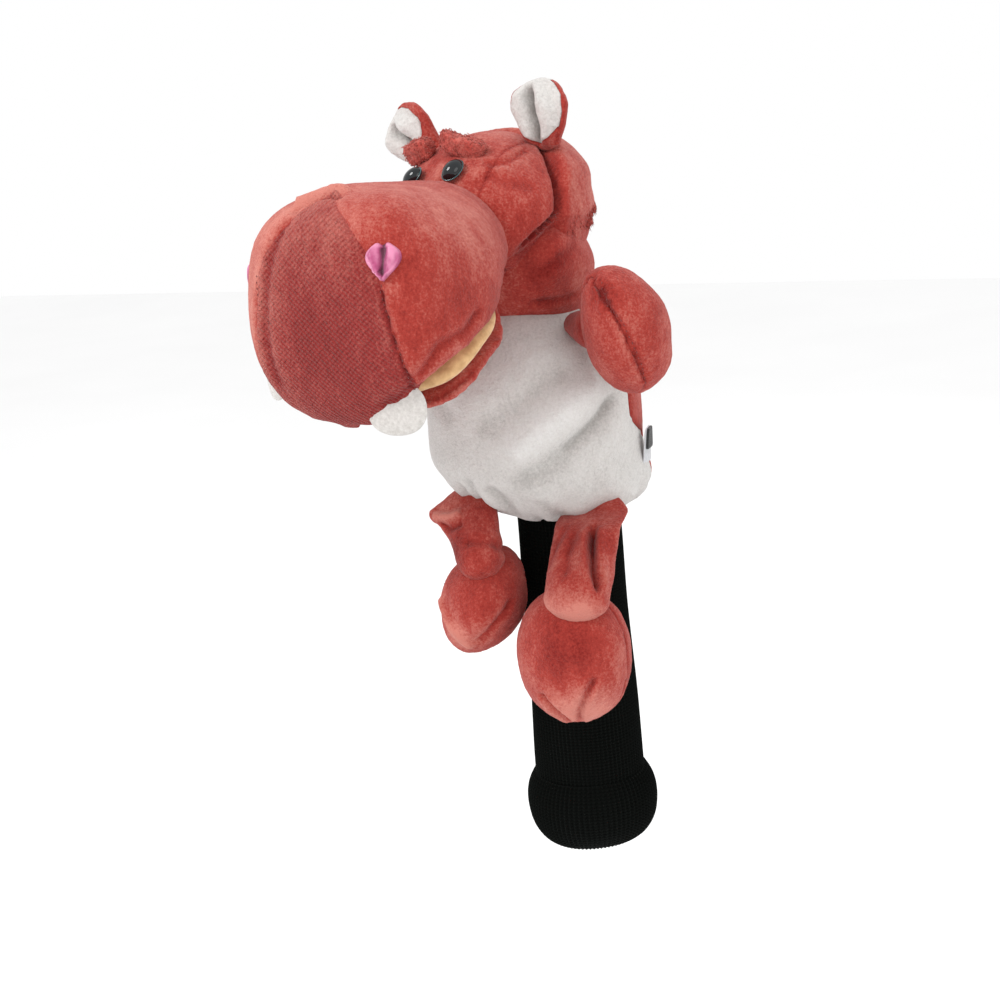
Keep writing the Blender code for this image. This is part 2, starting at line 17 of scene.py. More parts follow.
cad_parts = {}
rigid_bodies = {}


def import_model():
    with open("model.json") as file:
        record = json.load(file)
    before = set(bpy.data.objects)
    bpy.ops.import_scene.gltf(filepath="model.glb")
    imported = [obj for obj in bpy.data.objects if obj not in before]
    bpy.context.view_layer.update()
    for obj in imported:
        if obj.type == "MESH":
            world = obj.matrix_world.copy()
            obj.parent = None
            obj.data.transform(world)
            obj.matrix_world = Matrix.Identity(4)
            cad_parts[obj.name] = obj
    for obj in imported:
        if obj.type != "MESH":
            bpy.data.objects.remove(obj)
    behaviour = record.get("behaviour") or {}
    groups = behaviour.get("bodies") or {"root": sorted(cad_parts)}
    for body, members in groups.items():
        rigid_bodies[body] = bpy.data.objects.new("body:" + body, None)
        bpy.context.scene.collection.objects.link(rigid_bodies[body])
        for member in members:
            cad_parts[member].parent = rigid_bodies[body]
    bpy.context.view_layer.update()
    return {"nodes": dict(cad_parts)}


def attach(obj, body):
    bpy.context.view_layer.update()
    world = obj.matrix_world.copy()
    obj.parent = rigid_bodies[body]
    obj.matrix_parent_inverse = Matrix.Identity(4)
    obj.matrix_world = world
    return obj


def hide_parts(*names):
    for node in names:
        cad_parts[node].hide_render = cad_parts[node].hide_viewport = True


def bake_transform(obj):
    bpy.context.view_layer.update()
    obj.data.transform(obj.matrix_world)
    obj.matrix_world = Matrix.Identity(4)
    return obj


for left_over in list(bpy.data.objects):
    bpy.data.objects.remove(left_over)

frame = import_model()

MM = 0.001
SCENE = bpy.context.scene
RNG = np.random.default_rng(7)

PLUSH = 1.5                      # thickness of a sewn panel
SWELL_FRAMES = 20                # of the cloth simulation
STITCH_STEP, THREAD = 3.4, 0.3   # distance between stitches and half the thread's thickness
NAPE_TRIES = 2600                # tufts tried at the nape; those off its lower edge are dropped
BROW_TUFTS = 1800
EYE_RADIUS, EYE_OVAL, RIM = 5.3, 1.37, 0.45
EAR_BASE, EAR_TIP = 25, 17.5     # height of an ear's straight part and of its round tip
SOCK_OPENING = 30.2              # radius that the body's skin leaves open round the sock
RIBS, STEPS_PER_RIB = 78, 6
FLOOR_HALF, FLOOR_Z = 3.0, -0.16  # metres


# --- materials ---
class Look:
    """A node material with a Principled shader, and short calls for the nodes that feed it."""

    def __init__(self, name, rough=0.9, **plain):
        self.name = name
        self.mat = bpy.data.materials.new("look_" + name)
        self.mat.use_nodes = True
        self.tree = self.mat.node_tree
        self.shader = self.tree.nodes["Principled BSDF"]
        self.shader.inputs["Roughness"].default_value = rough
        for socket, value in plain.items():
            self.shader.inputs[socket.replace("_", " ")].default_value = value
        self.where = self.node("ShaderNodeTexCoord").outputs["Object"]

    def node(self, kind, **settings):
        made = self.tree.nodes.new(kind)
        for key, value in settings.items():
            if hasattr(made, key):
                setattr(made, key, value)
            else:
                made.inputs[key.replace("_", " ")].default_value = value
        return made

    def link(self, out, into):
        self.tree.links.new(out, into)

    def scaled(self, scale, turn=(0, 0, 0)):
        made = self.node("ShaderNodeMapping")
        made.inputs["Scale"].default_value = scale
        made.inputs["Rotation"].default_value = turn
        self.link(self.where, made.inputs["Vector"])
        return made.outputs["Vector"]

    def noise(self, scale, detail=3.0, rough=0.6, where=None):
        made = self.node("ShaderNodeTexNoise", Scale=scale, Detail=detail, Roughness=rough)
        self.link(where or self.where, made.inputs["Vector"])
        return made.outputs["Fac"]

    def wave(self, scale, axis="Z", distort=0.0, where=None):
        made = self.node("ShaderNodeTexWave", bands_direction=axis, Scale=scale,
                         Distortion=distort, Detail=1.0)
        self.link(where or self.where, made.inputs["Vector"])
        return made.outputs["Fac"]

    def pattern(self, kind, *settings):
        return self.noise(*settings) if kind == "noise" else self.wave(*settings)

    def attribute(self, name):
        return self.node("ShaderNodeAttribute", attribute_name=name).outputs["Fac"]

    def math(self, operation, first, second=None, clamp=False):
        made = self.node("ShaderNodeMath", operation=operation, use_clamp=clamp)
        for socket, value in zip(made.inputs, (first, second)):
            if isinstance(value, (int, float)):
                socket.default_value = value
            elif value is not None:
                self.link(value, socket)
        return made.outputs[0]

    def ramp(self, value, *stops):
        made = self.node("ShaderNodeValToRGB")
        points = made.color_ramp.elements
        while len(points) < len(stops):
            points.new(0.5)
        for point, (place, colour) in zip(points, stops):
            point.position = place
            point.color = (*colour, 1)
        self.link(value, made.inputs["Fac"])
        return made.outputs["Color"]

    def colour(self, out):
        self.link(out, self.shader.inputs["Base Color"])

    def roughness(self, value, low, high):
        made = self.node("ShaderNodeMapRange")
        made.inputs["To Min"].default_value = low
        made.inputs["To Max"].default_value = high
        self.link(value, made.inputs["Value"])
        self.link(made.outputs["Result"], self.shader.inputs["Roughness"])

    def bump(self, height, distance, strength=1.0):
        made = self.node("ShaderNodeBump", Strength=strength, Distance=distance)
        self.link(height, made.inputs["Height"])
        last = self.shader.inputs["Normal"]
        if last.is_linked:
            self.link(last.links[0].from_socket, made.inputs["Normal"])
        self.link(made.outputs["Normal"], last)


def plush(name, dark, middle, light, sheen, nap=1.0, tint=(1, 0.8, 0.76, 1)):
    """Short pile. The tone attribute paints light and shade into the colour: painted shade in
    creases, seams and shaded sides, painted highlights on lit rims and tops, in places also paler
    brushed nap.
    """
    look = Look(name, 0.85, Sheen_Weight=sheen, Sheen_Roughness=0.45, Sheen_Tint=tint,
                Specular_IOR_Level=0.15)
    patches = look.noise(24, 2)
    strokes = look.noise(95, 4, 0.7, look.scaled((1, 1, 0.45), (0.5, 0.35, 0.2)))
    grain = look.noise(640, 3, 0.75)
    mixed = look.math("ADD", look.math("MULTIPLY", patches, 0.3 * nap),
                      look.math("MULTIPLY", strokes, 0.75 * nap))
    mixed = look.math("ADD", mixed, look.math("MULTIPLY", grain, 0.9))
    mixed = look.math("SUBTRACT", mixed, 0.525 * nap + 0.45 - 0.5)
    # painted light and shade: the tone attribute lightens lit places and darkens shaded creases
    # in the base colour
    tone = look.math("MULTIPLY", look.attribute("tone"), 0.5)
    mixed = look.math("ADD", mixed, tone, clamp=True)
    look.colour(look.ramp(mixed, (0.08, dark), (0.5, middle), (0.95, light)))
    look.roughness(grain, 0.75, 0.98)
    look.bump(look.noise(1000, 3, 0.8), 0.0013, 0.7)
    look.bump(look.noise(300, 3, 0.7), 0.0022, 0.5)
    return look


LOOKS = {}

# name, roughness, pattern of the colour, its stops, pattern of the bump, its distance and
# strength, and other shader settings
PLAIN_LOOKS = (
    ("lining_tan", 0.85, ("noise", 180, 4), ((0.3, (0.52, 0.29, 0.12)), (0.7, (0.76, 0.5, 0.24))),
     ("noise", 700, 4, 0.7), (0.0006, 0.5), {"Sheen_Weight": 0.3}),
    ("felt_white", 0.95, ("noise", 420, 5, 0.7),
     ((0.3, (0.5, 0.47, 0.44)), (0.7, (0.72, 0.69, 0.66))),
     ("noise", 800, 5, 0.8), (0.0009, 0.7), {"Sheen_Weight": 0.3}),
    ("eye_rim", 0.15, ("noise", 200, 2), ((0.3, (0.01, 0.045, 0.05)), (0.7, (0.03, 0.10, 0.11))),
     None, None, {"Coat_Weight": 0.6, "Coat_Roughness": 0.05}),
    ("elastic", 0.8, ("wave", 300), ((0.2, (0.01, 0.01, 0.01)), (0.8, (0.05, 0.05, 0.05))),
     ("wave", 300), (0.0004,), {}),
    ("filling", 1.0, ("noise", 160, 6), ((0.2, (0.6, 0.6, 0.58)), (0.8, (0.9, 0.9, 0.88))),
     ("noise", 240, 6, 0.8), (0.002,), {"Sheen_Weight": 0.4}),
    ("pocket_fleece", 0.95, ("noise", 400, 5),
     ((0.2, (0.02, 0.02, 0.023)), (0.8, (0.08, 0.08, 0.085))),
     ("noise", 600, 4, 0.8), (0.001,), {"Sheen_Weight": 0.5}),
    ("washer_nylon", 0.5, ("noise", 100, 2), ((0.2, (0.7, 0.7, 0.68)), (0.8, (0.85, 0.85, 0.83))),
     ("noise", 500, 2), (0.0002,), {}),
    ("label_satin", 0.45, ("wave", 700, "Z", 0.3),
     ((0.1, (0.6, 0.6, 0.63)), (0.9, (0.84, 0.84, 0.86))),
     ("wave", 700, "Z", 0.3), (0.0002,), {"Sheen_Weight": 0.3, "Anisotropic": 0.4}),
    ("loop_black", 0.7, ("wave", 500), ((0.1, (0.006, 0.006, 0.006)), (0.9, (0.03, 0.03, 0.03))),
     ("wave", 500), (0.0004,), {"Sheen_Weight": 0.2}),
    ("thread_coral", 0.7, ("noise", 900, 3),
     ((0.2, (0.10, 0.008, 0.008)), (0.8, (0.24, 0.03, 0.026))), None, None,
     {"Sheen_Weight": 0.3}),
)


def make_looks():
    coral = plush("plush_coral", (0.19, 0.009, 0.007), (0.40, 0.044, 0.032), (0.62, 0.21, 0.165),
                  0.22)
    face = plush("plush_coral_face", (0.15, 0.009, 0.009), (0.295, 0.029, 0.026),
                 (0.54, 0.155, 0.125), 0.16, 0.7)
    rows = face.wave(140, "Z", 1.0, face.scaled((1, 1, 1), (0, math.radians(-38), 0)))
    cross = face.wave(130, "Z", 1.5, face.scaled((1, 1, 1), (0, math.radians(40), 0)))
    face.bump(face.math("ADD", rows, face.math("MULTIPLY", cross, 0.8)), 0.0007, 0.75)
    white = plush("plush_white", (0.42, 0.40, 0.38), (0.66, 0.635, 0.61), (0.80, 0.785, 0.765),
                  0.35, 0.5, (1, 1, 1, 1))
    brow = plush("plush_long", (0.34, 0.035, 0.028), (0.52, 0.085, 0.066), (0.68, 0.23, 0.185),
                 0.3)

    satin = Look("satin_pink", 0.3, Sheen_Weight=0.4, Anisotropic=0.6,
                 Sheen_Tint=(1, 0.7, 0.85, 1))
    # the tone attribute paints highlights and shade into the satin's colour
    satin.colour(satin.ramp(satin.math("ADD", satin.noise(120, 3), satin.math(
        "MULTIPLY", satin.attribute("tone"), 0.6), clamp=True),
        (0.1, (0.10, 0.006, 0.03)), (0.5, (0.42, 0.055, 0.17)), (0.95, (0.72, 0.24, 0.40))))
    satin.bump(satin.wave(900, "DIAGONAL", 0.5), 0.0002, 0.4)

    eye = Look("eye_black", 0.08, Coat_Weight=0.3, Coat_Roughness=0.03,
               Specular_IOR_Level=0.35)
    eye.colour(eye.ramp(eye.noise(90, 2), (0.3, (0.002, 0.003, 0.004)),
                        (0.7, (0.006, 0.010, 0.013))))
    eye.roughness(eye.noise(500, 3), 0.04, 0.1)

    knit = Look("knit_black", 0.95, Sheen_Weight=0.015, Sheen_Tint=(0.6, 0.75, 0.7, 1),
                Specular_IOR_Level=0.07)
    loops = knit.wave(150, "Z", 1.5)
    knit.colour(knit.ramp(knit.math("ADD", knit.math("MULTIPLY", loops, 0.5), knit.math(
        "MULTIPLY", knit.noise(500, 4), 0.6)), (0.2, (0.001, 0.0013, 0.001)),
        (0.8, (0.003, 0.0036, 0.003))))
    knit.bump(loops, 0.0007, 0.6)
    knit.bump(knit.noise(1500, 3, 0.8), 0.0005, 0.5)

    looks = [coral, face, white, brow, satin, eye, knit]
    for name, rough, grain, stops, grit, grit_height, others in PLAIN_LOOKS:
        look = Look(name, rough, **others)
        look.colour(look.ramp(look.pattern(*grain), *stops))
        if grit:
            look.bump(look.pattern(*grit), *grit_height)
        looks.append(look)
    for look in looks:
        LOOKS[look.name] = look.mat


# --- shape arithmetic, on arrays of points in millimetres ---
def smooth(value, low, high):
    """0 below low, 1 above high, and an even slope between."""
    t = np.clip((np.asarray(value, float) - low) / (high - low), 0, 1)
    return t * t * (3 - 2 * t)


def bell(value, middle, width):
    """1 at middle, falling to nothing on both sides."""
    return np.exp(-((value - middle) / width) ** 2)


def near(points, place, radius):
    """Near 1 at the points by place, falling to nothing past radius."""
    return bell(np.linalg.norm(points - np.asarray(place), axis=1), 0, radius)


def quad_sphere(n):
    """Unit vectors on a cube blown up to a sphere, n quads along an edge, and the quads."""
    ticks = np.tan(np.linspace(-math.pi / 4, math.pi / 4, n + 1))
    a, b = np.meshgrid(ticks, ticks, indexing="ij")
    points, quads = [], []
    for axis in range(3):
        for sign in (1, -1):
            face = np.zeros((n + 1, n + 1, 3))
            face[..., axis] = sign
            face[..., (axis + 1) % 3] = sign * a
            face[..., (axis + 2) % 3] = b
            index = np.arange((n + 1) ** 2).reshape(n + 1, n + 1) + len(points) * (n + 1) ** 2
            quads.append(np.stack([index[:-1, :-1], index[1:, :-1], index[1:, 1:],
                                   index[:-1, 1:]], -1).reshape(-1, 4))
            points.append(face.reshape(-1, 3))
    points, quads = np.concatenate(points), np.concatenate(quads)
    _, first, back = np.unique(np.round(points * 1e5).astype(int), axis=0, return_index=True,
                               return_inverse=True)
    points = points[first]
    return points / np.linalg.norm(points, axis=1, keepdims=True), back.reshape(-1)[quads]


def turned(rings):
    """A ring of rings, as for a torus: the last ring joins the first."""
    count, steps = rings.shape[:2]
    index = np.arange(count * steps).reshape(count, steps)
    after = np.roll(index, -1, axis=1)
    faces = np.stack([index, after, np.roll(after, -1, axis=0), np.roll(index, -1, axis=0)], -1)
    return rings.reshape(-1, 3), faces.reshape(-1, 4).tolist()


def super_ball(u, radii, power=2.0):
    k = (np.abs(u) ** power).sum(1) ** (-1 / power)
    return u * k[:, None] * np.asarray(radii, float)


def rotation(axis, degrees):
    return np.array(Matrix.Rotation(math.radians(degrees), 3, axis))


NECK = np.array([-14.0, -7.0, 368.0])   # where neck_turn and head_nod cross
HEAD_TURN = rotation("Z", -11.5)
HEAD_LEFT, HEAD_FORWARD = -9, 8         # the head's own middle line, from the neck's


def head_world(points):
    """From the head's sideways, forward and height measures to the row frame."""
    w, f, z = np.asarray(points, float).reshape(-1, 3).T
    there = np.stack([w + HEAD_LEFT, -(f + HEAD_FORWARD), z - NECK[2]], 1)
    return there @ HEAD_TURN.T + NECK


def head_local(points):
    x, y, z = ((np.asarray(points, float).reshape(-1, 3) - NECK) @ HEAD_TURN).T
    return np.stack([x - HEAD_LEFT, -y - HEAD_FORWARD, z + NECK[2]], 1)


BODY_MIDDLE, BODY_UP, BODY_DOWN, BODY_REACH = 284, 74, 69, 67
NECK_RADII = np.array([47, 42, 42])
SKULL_RADII, SKULL_MIDDLE = np.array([58, 60, 50]), (2, 404)
MUZZLE_MIDDLE, MUZZLE_HALF = 100, 64
PALATE_HEIGHT, PALATE_SLOPE, LIP_BACK = 361.5, 26, 141


def body_axis(z):
    """The body's middle line leans from the sock's centre to under the neck."""
    return smooth(z, 226, 262)[:, None] * NECK[:2]


def body_form(u, inset):
    power = np.where(u[:, 2] > 0, 2.2, 3.0)
    ring = np.hypot(u[:, 0], u[:, 1])
    k = (ring ** power + np.abs(u[:, 2]) ** power) ** (-1 / power)
    z = BODY_MIDDLE + u[:, 2] * k * (np.where(u[:, 2] > 0, BODY_UP, BODY_DOWN) - inset)
    ring = body_axis(z) + u[:, :2] * (k * (BODY_REACH - inset))[:, None]
    return np.column_stack([ring, z])


def neck_form(u, inset):
    return super_ball(u, NECK_RADII - inset) @ HEAD_TURN.T + NECK


def skull_form(u, inset):
    w, back, up = super_ball(u, SKULL_RADII - inset, 2.15).T
    w = w * (1 - 0.13 * smooth(u[:, 2], 0, 1))
    return head_world(np.stack([w, SKULL_MIDDLE[0] - back, SKULL_MIDDLE[1] + up], 1))


def muzzle_form(u, inset):
    """u's z runs forward. Behind the upper lip the underside stops at the palate."""
    forward = u[:, 2]
    f = MUZZLE_MIDDLE + (MUZZLE_HALF - inset) * forward
    full = (1 - np.minimum(1, np.abs(forward)) ** 3.6) ** (1 / 3.6)
    ring = np.hypot(u[:, 0], u[:, 1])
    pole = ring < 1e-6
    side = np.where(pole, 1.0, u[:, 0] / np.where(pole, 1.0, ring))
    up = np.where(pole, 0.0, u[:, 1] / np.where(pole, 1.0, ring))
    k = (np.abs(side) ** 2.3 + np.abs(up) ** 2.3) ** (-1 / 2.3)
    half_width = (58 + 18 * smooth(f, 50, 110)) * (1 - 0.1 * up) - inset
    top = 432 + 14 * smooth(f, 80, 150) - inset
    bottom = 335 - 36 * smooth(f, 55, 140) + inset
    middle, half_height = (top + bottom) / 2, (top - bottom) / 2
    z = middle + up * k * full * half_height
    slope = math.tan(math.radians(PALATE_SLOPE))
    palate = PALATE_HEIGHT - (f - MUZZLE_MIDDLE) * slope + inset
    z = np.where(f < LIP_BACK, np.maximum(z, palate), z)
    return head_world(np.stack([side * k * full * half_width, f, z], 1))


def limb_form(u, length, root, end):
    """A sleeve along +Z, sewn flat at its root and round at its end."""
    ring = np.hypot(u[:, 0], u[:, 1])
    safe = np.maximum(ring, 1e-9)
    side, up = u[:, 0] / safe, u[:, 1] / safe
    along = 1 + u[:, 2]
    swell = smooth(along, 0, 1)
    rim = np.minimum(1, 1.7 * ring)
    width = (root[0] + (end[0] - root[0]) * swell) * rim
    thick = (root[1] + (end[1] - root[1]) * swell) * rim
    lower = np.stack([side * width, up * thick, along * length], 1)
    upper = np.stack([u[:, 0] * end[0], u[:, 1] * end[1], length + u[:, 2] * end[1]], 1)
    return np.where(u[:, 2:] >= 0, upper, lower)


def frame_along(run):
    """A turn whose Z runs along run and whose X stays near the row's X, as columns."""
    along = np.asarray(run, float) / np.linalg.norm(run)
    across = np.array([1.0, 0, 0]) - along * along[0]
    across /= np.linalg.norm(across)
    return np.stack([across, np.cross(along, across), along], 1)


def ripple(points, size, seed):
    shift = Vector((seed * 17.3, seed * -9.1, seed * 5.7))
    return np.array([noise.noise(Vector(p) / size + shift) for p in points])


def path_distance(points, path):
    """Each point's distance from a line of points, and how far along it the nearest place is."""
    path = np.asarray(path, float)
    lengths = np.linalg.norm(np.diff(path, axis=0), axis=1)
    starts = np.concatenate([[0], np.cumsum(lengths)])
    best = np.full(len(points), 1e9)
    where = np.zeros(len(points))
    for k, length in enumerate(lengths):
        run = path[k + 1] - path[k]
        t = np.clip((points - path[k]) @ run / length ** 2, 0, 1)
        gap = np.linalg.norm(points - path[k] - t[:, None] * run, axis=1)
        nearer = gap < best
        best[nearer] = gap[nearer]
        where[nearer] = (starts[k] + t[nearer] * length) / starts[-1]
    return best, where


def along_path(path, spacing):
    path = np.asarray(path, float)
    lengths = np.linalg.norm(np.diff(path, axis=0), axis=1)
    starts = np.concatenate([[0], np.cumsum(lengths)])
    at = np.linspace(0, starts[-1], max(2, int(starts[-1] / spacing) + 1))
    return np.stack([np.interp(at, starts, path[:, k]) for k in range(3)], 1)


# --- meshes ---
def as_piece(mesh, slot, look=None):
    obj = bpy.data.objects.new(mesh.name, mesh)
    SCENE.collection.objects.link(obj)
    mesh.materials.append(LOOKS[look or slot])
    return obj


def piece(name, points, faces, slot, look=None):
    mesh = bpy.data.meshes.new(name)
    mesh.from_pydata((np.asarray(points) * MM).tolist(), [], [list(face) for face in faces])
    mesh.shade_smooth()
    return as_piece(mesh, slot, look)


def dress(obj, body, *nodes, fill=None):
    """Rides a finished piece on its body, in place of the CAD nodes it stands for."""
    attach(obj, body)
    if nodes:
        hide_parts(*nodes)


def get_points(obj):
    flat = np.zeros(len(obj.data.vertices) * 3)
    obj.data.vertices.foreach_get("co", flat)
    return flat.reshape(-1, 3) / MM


def set_points(obj, points):
    obj.data.vertices.foreach_set("co", (points * MM).reshape(-1))
    obj.data.update()


def get_normals(obj):
    flat = np.zeros(len(obj.data.vertices) * 3)
    obj.data.vertices.foreach_get("normal", flat)
    return flat.reshape(-1, 3)


def push_out(obj, move):
    """Moves each point along its normal."""
    set_points(obj, get_points(obj) + get_normals(obj) * move[:, None])


def apply_modifiers(obj):
    bpy.context.view_layer.update()
    graph = bpy.context.evaluated_depsgraph_get()
    old = obj.data
    made = bpy.data.meshes.new_from_object(obj.evaluated_get(graph))
    obj.modifiers.clear()
    obj.data = made
    made.name = obj.name
    if not made.materials:
        for mat in old.materials:
            made.materials.append(mat)
    bpy.data.meshes.remove(old)
    made.shade_smooth()


def blend(obj):
    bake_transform(obj)


def inflate(jobs):
    """Blows up all the padded forms together. A job is a piece, its voxel, pressure and cap."""
    for obj, voxel, _, _ in jobs:
        even = obj.modifiers.new("even", "REMESH")
        even.mode = "VOXEL"
        even.voxel_size = voxel * MM
        apply_modifiers(obj)
    before = {obj.name: get_points(obj) for obj, _, _, _ in jobs}
    for obj, _, pressure, _ in jobs:
        cloth = obj.modifiers.new("cloth", "CLOTH")
        cloth.settings.quality = 4
        cloth.settings.mass = 0.3
        cloth.settings.bending_stiffness = 0.5
        cloth.settings.use_pressure = True
        cloth.settings.uniform_pressure_force = pressure
        cloth.settings.effector_weights.gravity = 0
        cloth.collision_settings.use_collision = False
        cloth.point_cache.frame_start = 1
        cloth.point_cache.frame_end = SWELL_FRAMES
    for step in range(1, SWELL_FRAMES + 1):
        SCENE.frame_set(step)
    graph = bpy.context.evaluated_depsgraph_get()
    for obj, _, _, cap in jobs:
        shaped = obj.evaluated_get(graph).data
        flat = np.zeros(len(shaped.vertices) * 3)
        shaped.vertices.foreach_get("co", flat)
        start = before[obj.name]
        move = flat.reshape(-1, 3) / MM - start
        size = np.linalg.norm(move, axis=1, keepdims=True)
        obj.modifiers.clear()
        set_points(obj, start + move * np.minimum(1, cap / np.maximum(size, 1e-6)))
    SCENE.frame_set(1)
    for obj, _, _, _ in jobs:
        eased = obj.modifiers.new("eased", "SMOOTH")
        eased.factor = 0.5
        eased.iterations = 3
        finer = obj.modifiers.new("finer", "SUBSURF")
        finer.levels = finer.render_levels = 1
        apply_modifiers(obj)


def tone_of(obj):
    held = obj.data.attributes.get("tone")
    if held is None:
        held = obj.data.attributes.new("tone", "FLOAT", "POINT")
    values = np.zeros(len(obj.data.vertices))
    held.data.foreach_get("value", values)
    return values


def set_tone(obj, values):
    """The tone runs from -1, painted shade at its darkest, to 1, painted highlight at its
    lightest, in places also paler brushed nap.
    """
    tone_of(obj)
    obj.data.attributes["tone"].data.foreach_set("value", values.astype(np.float32))


def laid_on(tree, path):
    return [tuple(tree.find_nearest(Vector(point))[0]) for point in path]


def work(obj, lumps, size, seed, folds=(), painted_light_and_nap=(), grain=0.22):
    """Seams, folds and lumps pushed into a finished form.

    A fold is (path, width, depth): depth above 0 is a valley with raised banks, below 0 a ridge.
    Spots are (point, radius, amount): above 0 a painted highlight there, in places also paler
    brushed pile, below 0 painted shade."""
    points = get_points(obj)
    tone = tone_of(obj)
    move = lumps * ripple(points, size, seed) + grain * ripple(points, 2.6, seed + 3)
    tree = surface_tree(obj) if folds else None
    for path, width, depth in folds:
        gap, where = path_distance(points, laid_on(tree, along_path(path, 4.0)))
        taper = smooth(where, 0, 0.12) * smooth(1 - where, 0, 0.12) if len(path) > 2 else 1.0
        line = bell(gap, 0, width)
        bank = bell(gap, 2.1 * width, 1.3 * width)
        move += taper * (-depth * line + 0.28 * depth * bank)
        # painted shade along the fold line and a faint painted highlight on its raised banks
        tone += taper * (-0.5 * min(1.0, depth / 2.0) * line + 0.12 * bank)
    # painted highlights and painted shade at the listed spots, partly paler brushed nap
    for place, radius, amount in painted_light_and_nap:
        tone += amount * near(points, place, radius)
    push_out(obj, move)
    set_tone(obj, np.clip(tone, -1, 1))


def pucker(obj, path, pitch, reach, depth, seed):
    """Short gathers that run out from a seam on both sides."""
    points = get_points(obj)
    path = laid_on(surface_tree(obj), path)
    gap, where = path_distance(points, path)
    length = np.linalg.norm(np.diff(np.asarray(path, float), axis=0), axis=1).sum()
    beat = np.sin(2 * math.pi * where * length / pitch + 2.0 * ripple(points, 9, seed))
    push_out(obj, depth * beat * bell(gap, 0.4 * reach, reach))


def snap_to(field, mesh, points):
    """Moves the corners next to the line where field is zero onto that line."""
    value = field(points)
    for edge in mesh.edges:
        a, b = edge.verts[0].index, edge.verts[1].index
        if value[a] * value[b] < 0:
            t = value[a] / (value[a] - value[b])
            keep = a if t < 0.5 else b
            points[keep] = points[a] + t * (points[b] - points[a])
            value[keep] = 0.0
    return value


def corners(mesh):
    return np.array([v.co[:] for v in mesh.verts]) / MM


def put_corners(mesh, points):
    for vert, place in zip(mesh.verts, points):
        vert.co = place * MM


def cut_panels(obj, field, parts, depth, thick=PLUSH, dark=0.5, hole=None):
    """Cuts a closed skin where field crosses zero into two sewn panels, each its own shell.

    parts is (name, slot) or (name, slot, look), for the side above zero and then for the side
    below. The skin is left open where the hole field is below zero."""
    mesh = bmesh.new()
    mesh.from_mesh(obj.data)
    bmesh.ops.triangulate(mesh, faces=mesh.faces)
    mesh.verts.ensure_lookup_table()
    points = corners(mesh)
    if hole:
        inside = snap_to(hole, mesh, points)
        put_corners(mesh, points)
        gone = [face for face in mesh.faces if sum(inside[v.index] for v in face.verts) < 0]
        bmesh.ops.delete(mesh, geom=gone, context="FACES")
        mesh.verts.index_update()
        mesh.verts.ensure_lookup_table()
        points = corners(mesh)
    value = snap_to(field, mesh, points)
    seam = np.abs(value) < 1e-9
    normals = np.array([v.normal[:] for v in mesh.verts])
    points[seam] -= normals[seam] * depth
    put_corners(mesh, points)
    # painted shade: the tone is lowered by dark along the seam groove
    layer = mesh.verts.layers.float.get("tone")
    if layer:
        for vert in mesh.verts:
            if seam[vert.index]:
                vert[layer] -= dark
    panels = []
    for sign, (name, *finish) in zip((1, -1), parts):
        half = mesh.copy()
        half.faces.ensure_lookup_table()
        wrong = [face for face in half.faces
                 if (sum(value[v.index] for v in face.verts) <= 0) == (sign > 0)]
        bmesh.ops.delete(half, geom=wrong, context="FACES")
        panel_mesh = bpy.data.meshes.new(name)
        half.to_mesh(panel_mesh)
        half.free()
        panels.append(as_piece(panel_mesh, *finish))
    mesh.free()
    bpy.data.objects.remove(obj)
    for panel in panels:
        skin = panel.modifiers.new("skin", "SOLIDIFY")
        skin.thickness = thick * MM
        skin.offset = -1
        skin.use_even_offset = False
        apply_modifiers(panel)
        panel.data.set_sharp_from_angle(angle=math.radians(60))
    return panels


def surface_tree(*objects):
    """A search tree over the finished skins, in millimetres."""
    points, faces = [], []
    for obj in objects:
        start = sum(len(p) for p in points)
        points.append(get_points(obj))
        faces += [[i + start for i in face.vertices] for face in obj.data.polygons]
    return BVHTree.FromPolygons(np.concatenate(points).tolist(), faces)


def stitches(name, body, path, tree, length, lift):
    """A row of short thread stitches, each a small closed spindle lying on the cloth."""
    spots = along_path(path, STITCH_STEP)
    points, faces = [], []
    for here, there in zip(spots[:-1], spots[1:]):
        place, normal, _, _ = tree.find_nearest(Vector((here + there) / 2))
        run = (Vector(there) - Vector(here)).normalized()
        run = (run - normal * run.dot(normal)).normalized()
        side = normal.cross(run)
        middle = place + normal * lift
        base = len(points)
        points += [middle - run * length / 2, middle + run * length / 2]
        for k in range(6):
            turn = k * math.pi / 3
            points.append(middle + (side * math.cos(turn) + normal * math.sin(turn)) * THREAD)
        for k in range(6):
            first, second = base + 2 + k, base + 2 + (k + 1) % 6
            faces += [(base + 1, first, second), (base, second, first)]
    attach(piece(name, [tuple(p) for p in points], faces, "plush_coral", "thread_coral"), body)


def tufts(name, roots, ways, length, radius, spread):
    """Shaggy pile on the head: thin bent spikes from root points along ways."""
    points, faces = [], []
    for root, way in zip(roots, ways):
        way = Vector(way).normalized()
        tip_way = (way + Vector(RNG.normal(0, spread, 3))).normalized()
        size = length * RNG.uniform(0.6, 1.15)
        side = way.orthogonal().normalized()
        other = way.cross(side)
        start = Vector(root) - way * 0.8
        middle = start + way * size * 0.5
        tip = middle + (tip_way + Vector((0, 0, -0.25))).normalized() * size * 0.5
        base = len(points)
        for centre, wide in ((start, radius), (middle, radius * 0.8)):
            for k in range(3):
                turn = k * 2 * math.pi / 3
                points.append(centre + (side * math.cos(turn) + other * math.sin(turn)) * wide)
        points.append(tip)
        faces.append((base + 2, base + 1, base))
        for k in range(3):
            n = (k + 1) % 3
            faces += [(base + k, base + n, base + 3 + n, base + 3 + k),
                      (base + 3 + k, base + 3 + n, base + 6)]
    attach(piece(name, [tuple(p) for p in points], faces, "plush_coral", "plush_long"), "head")


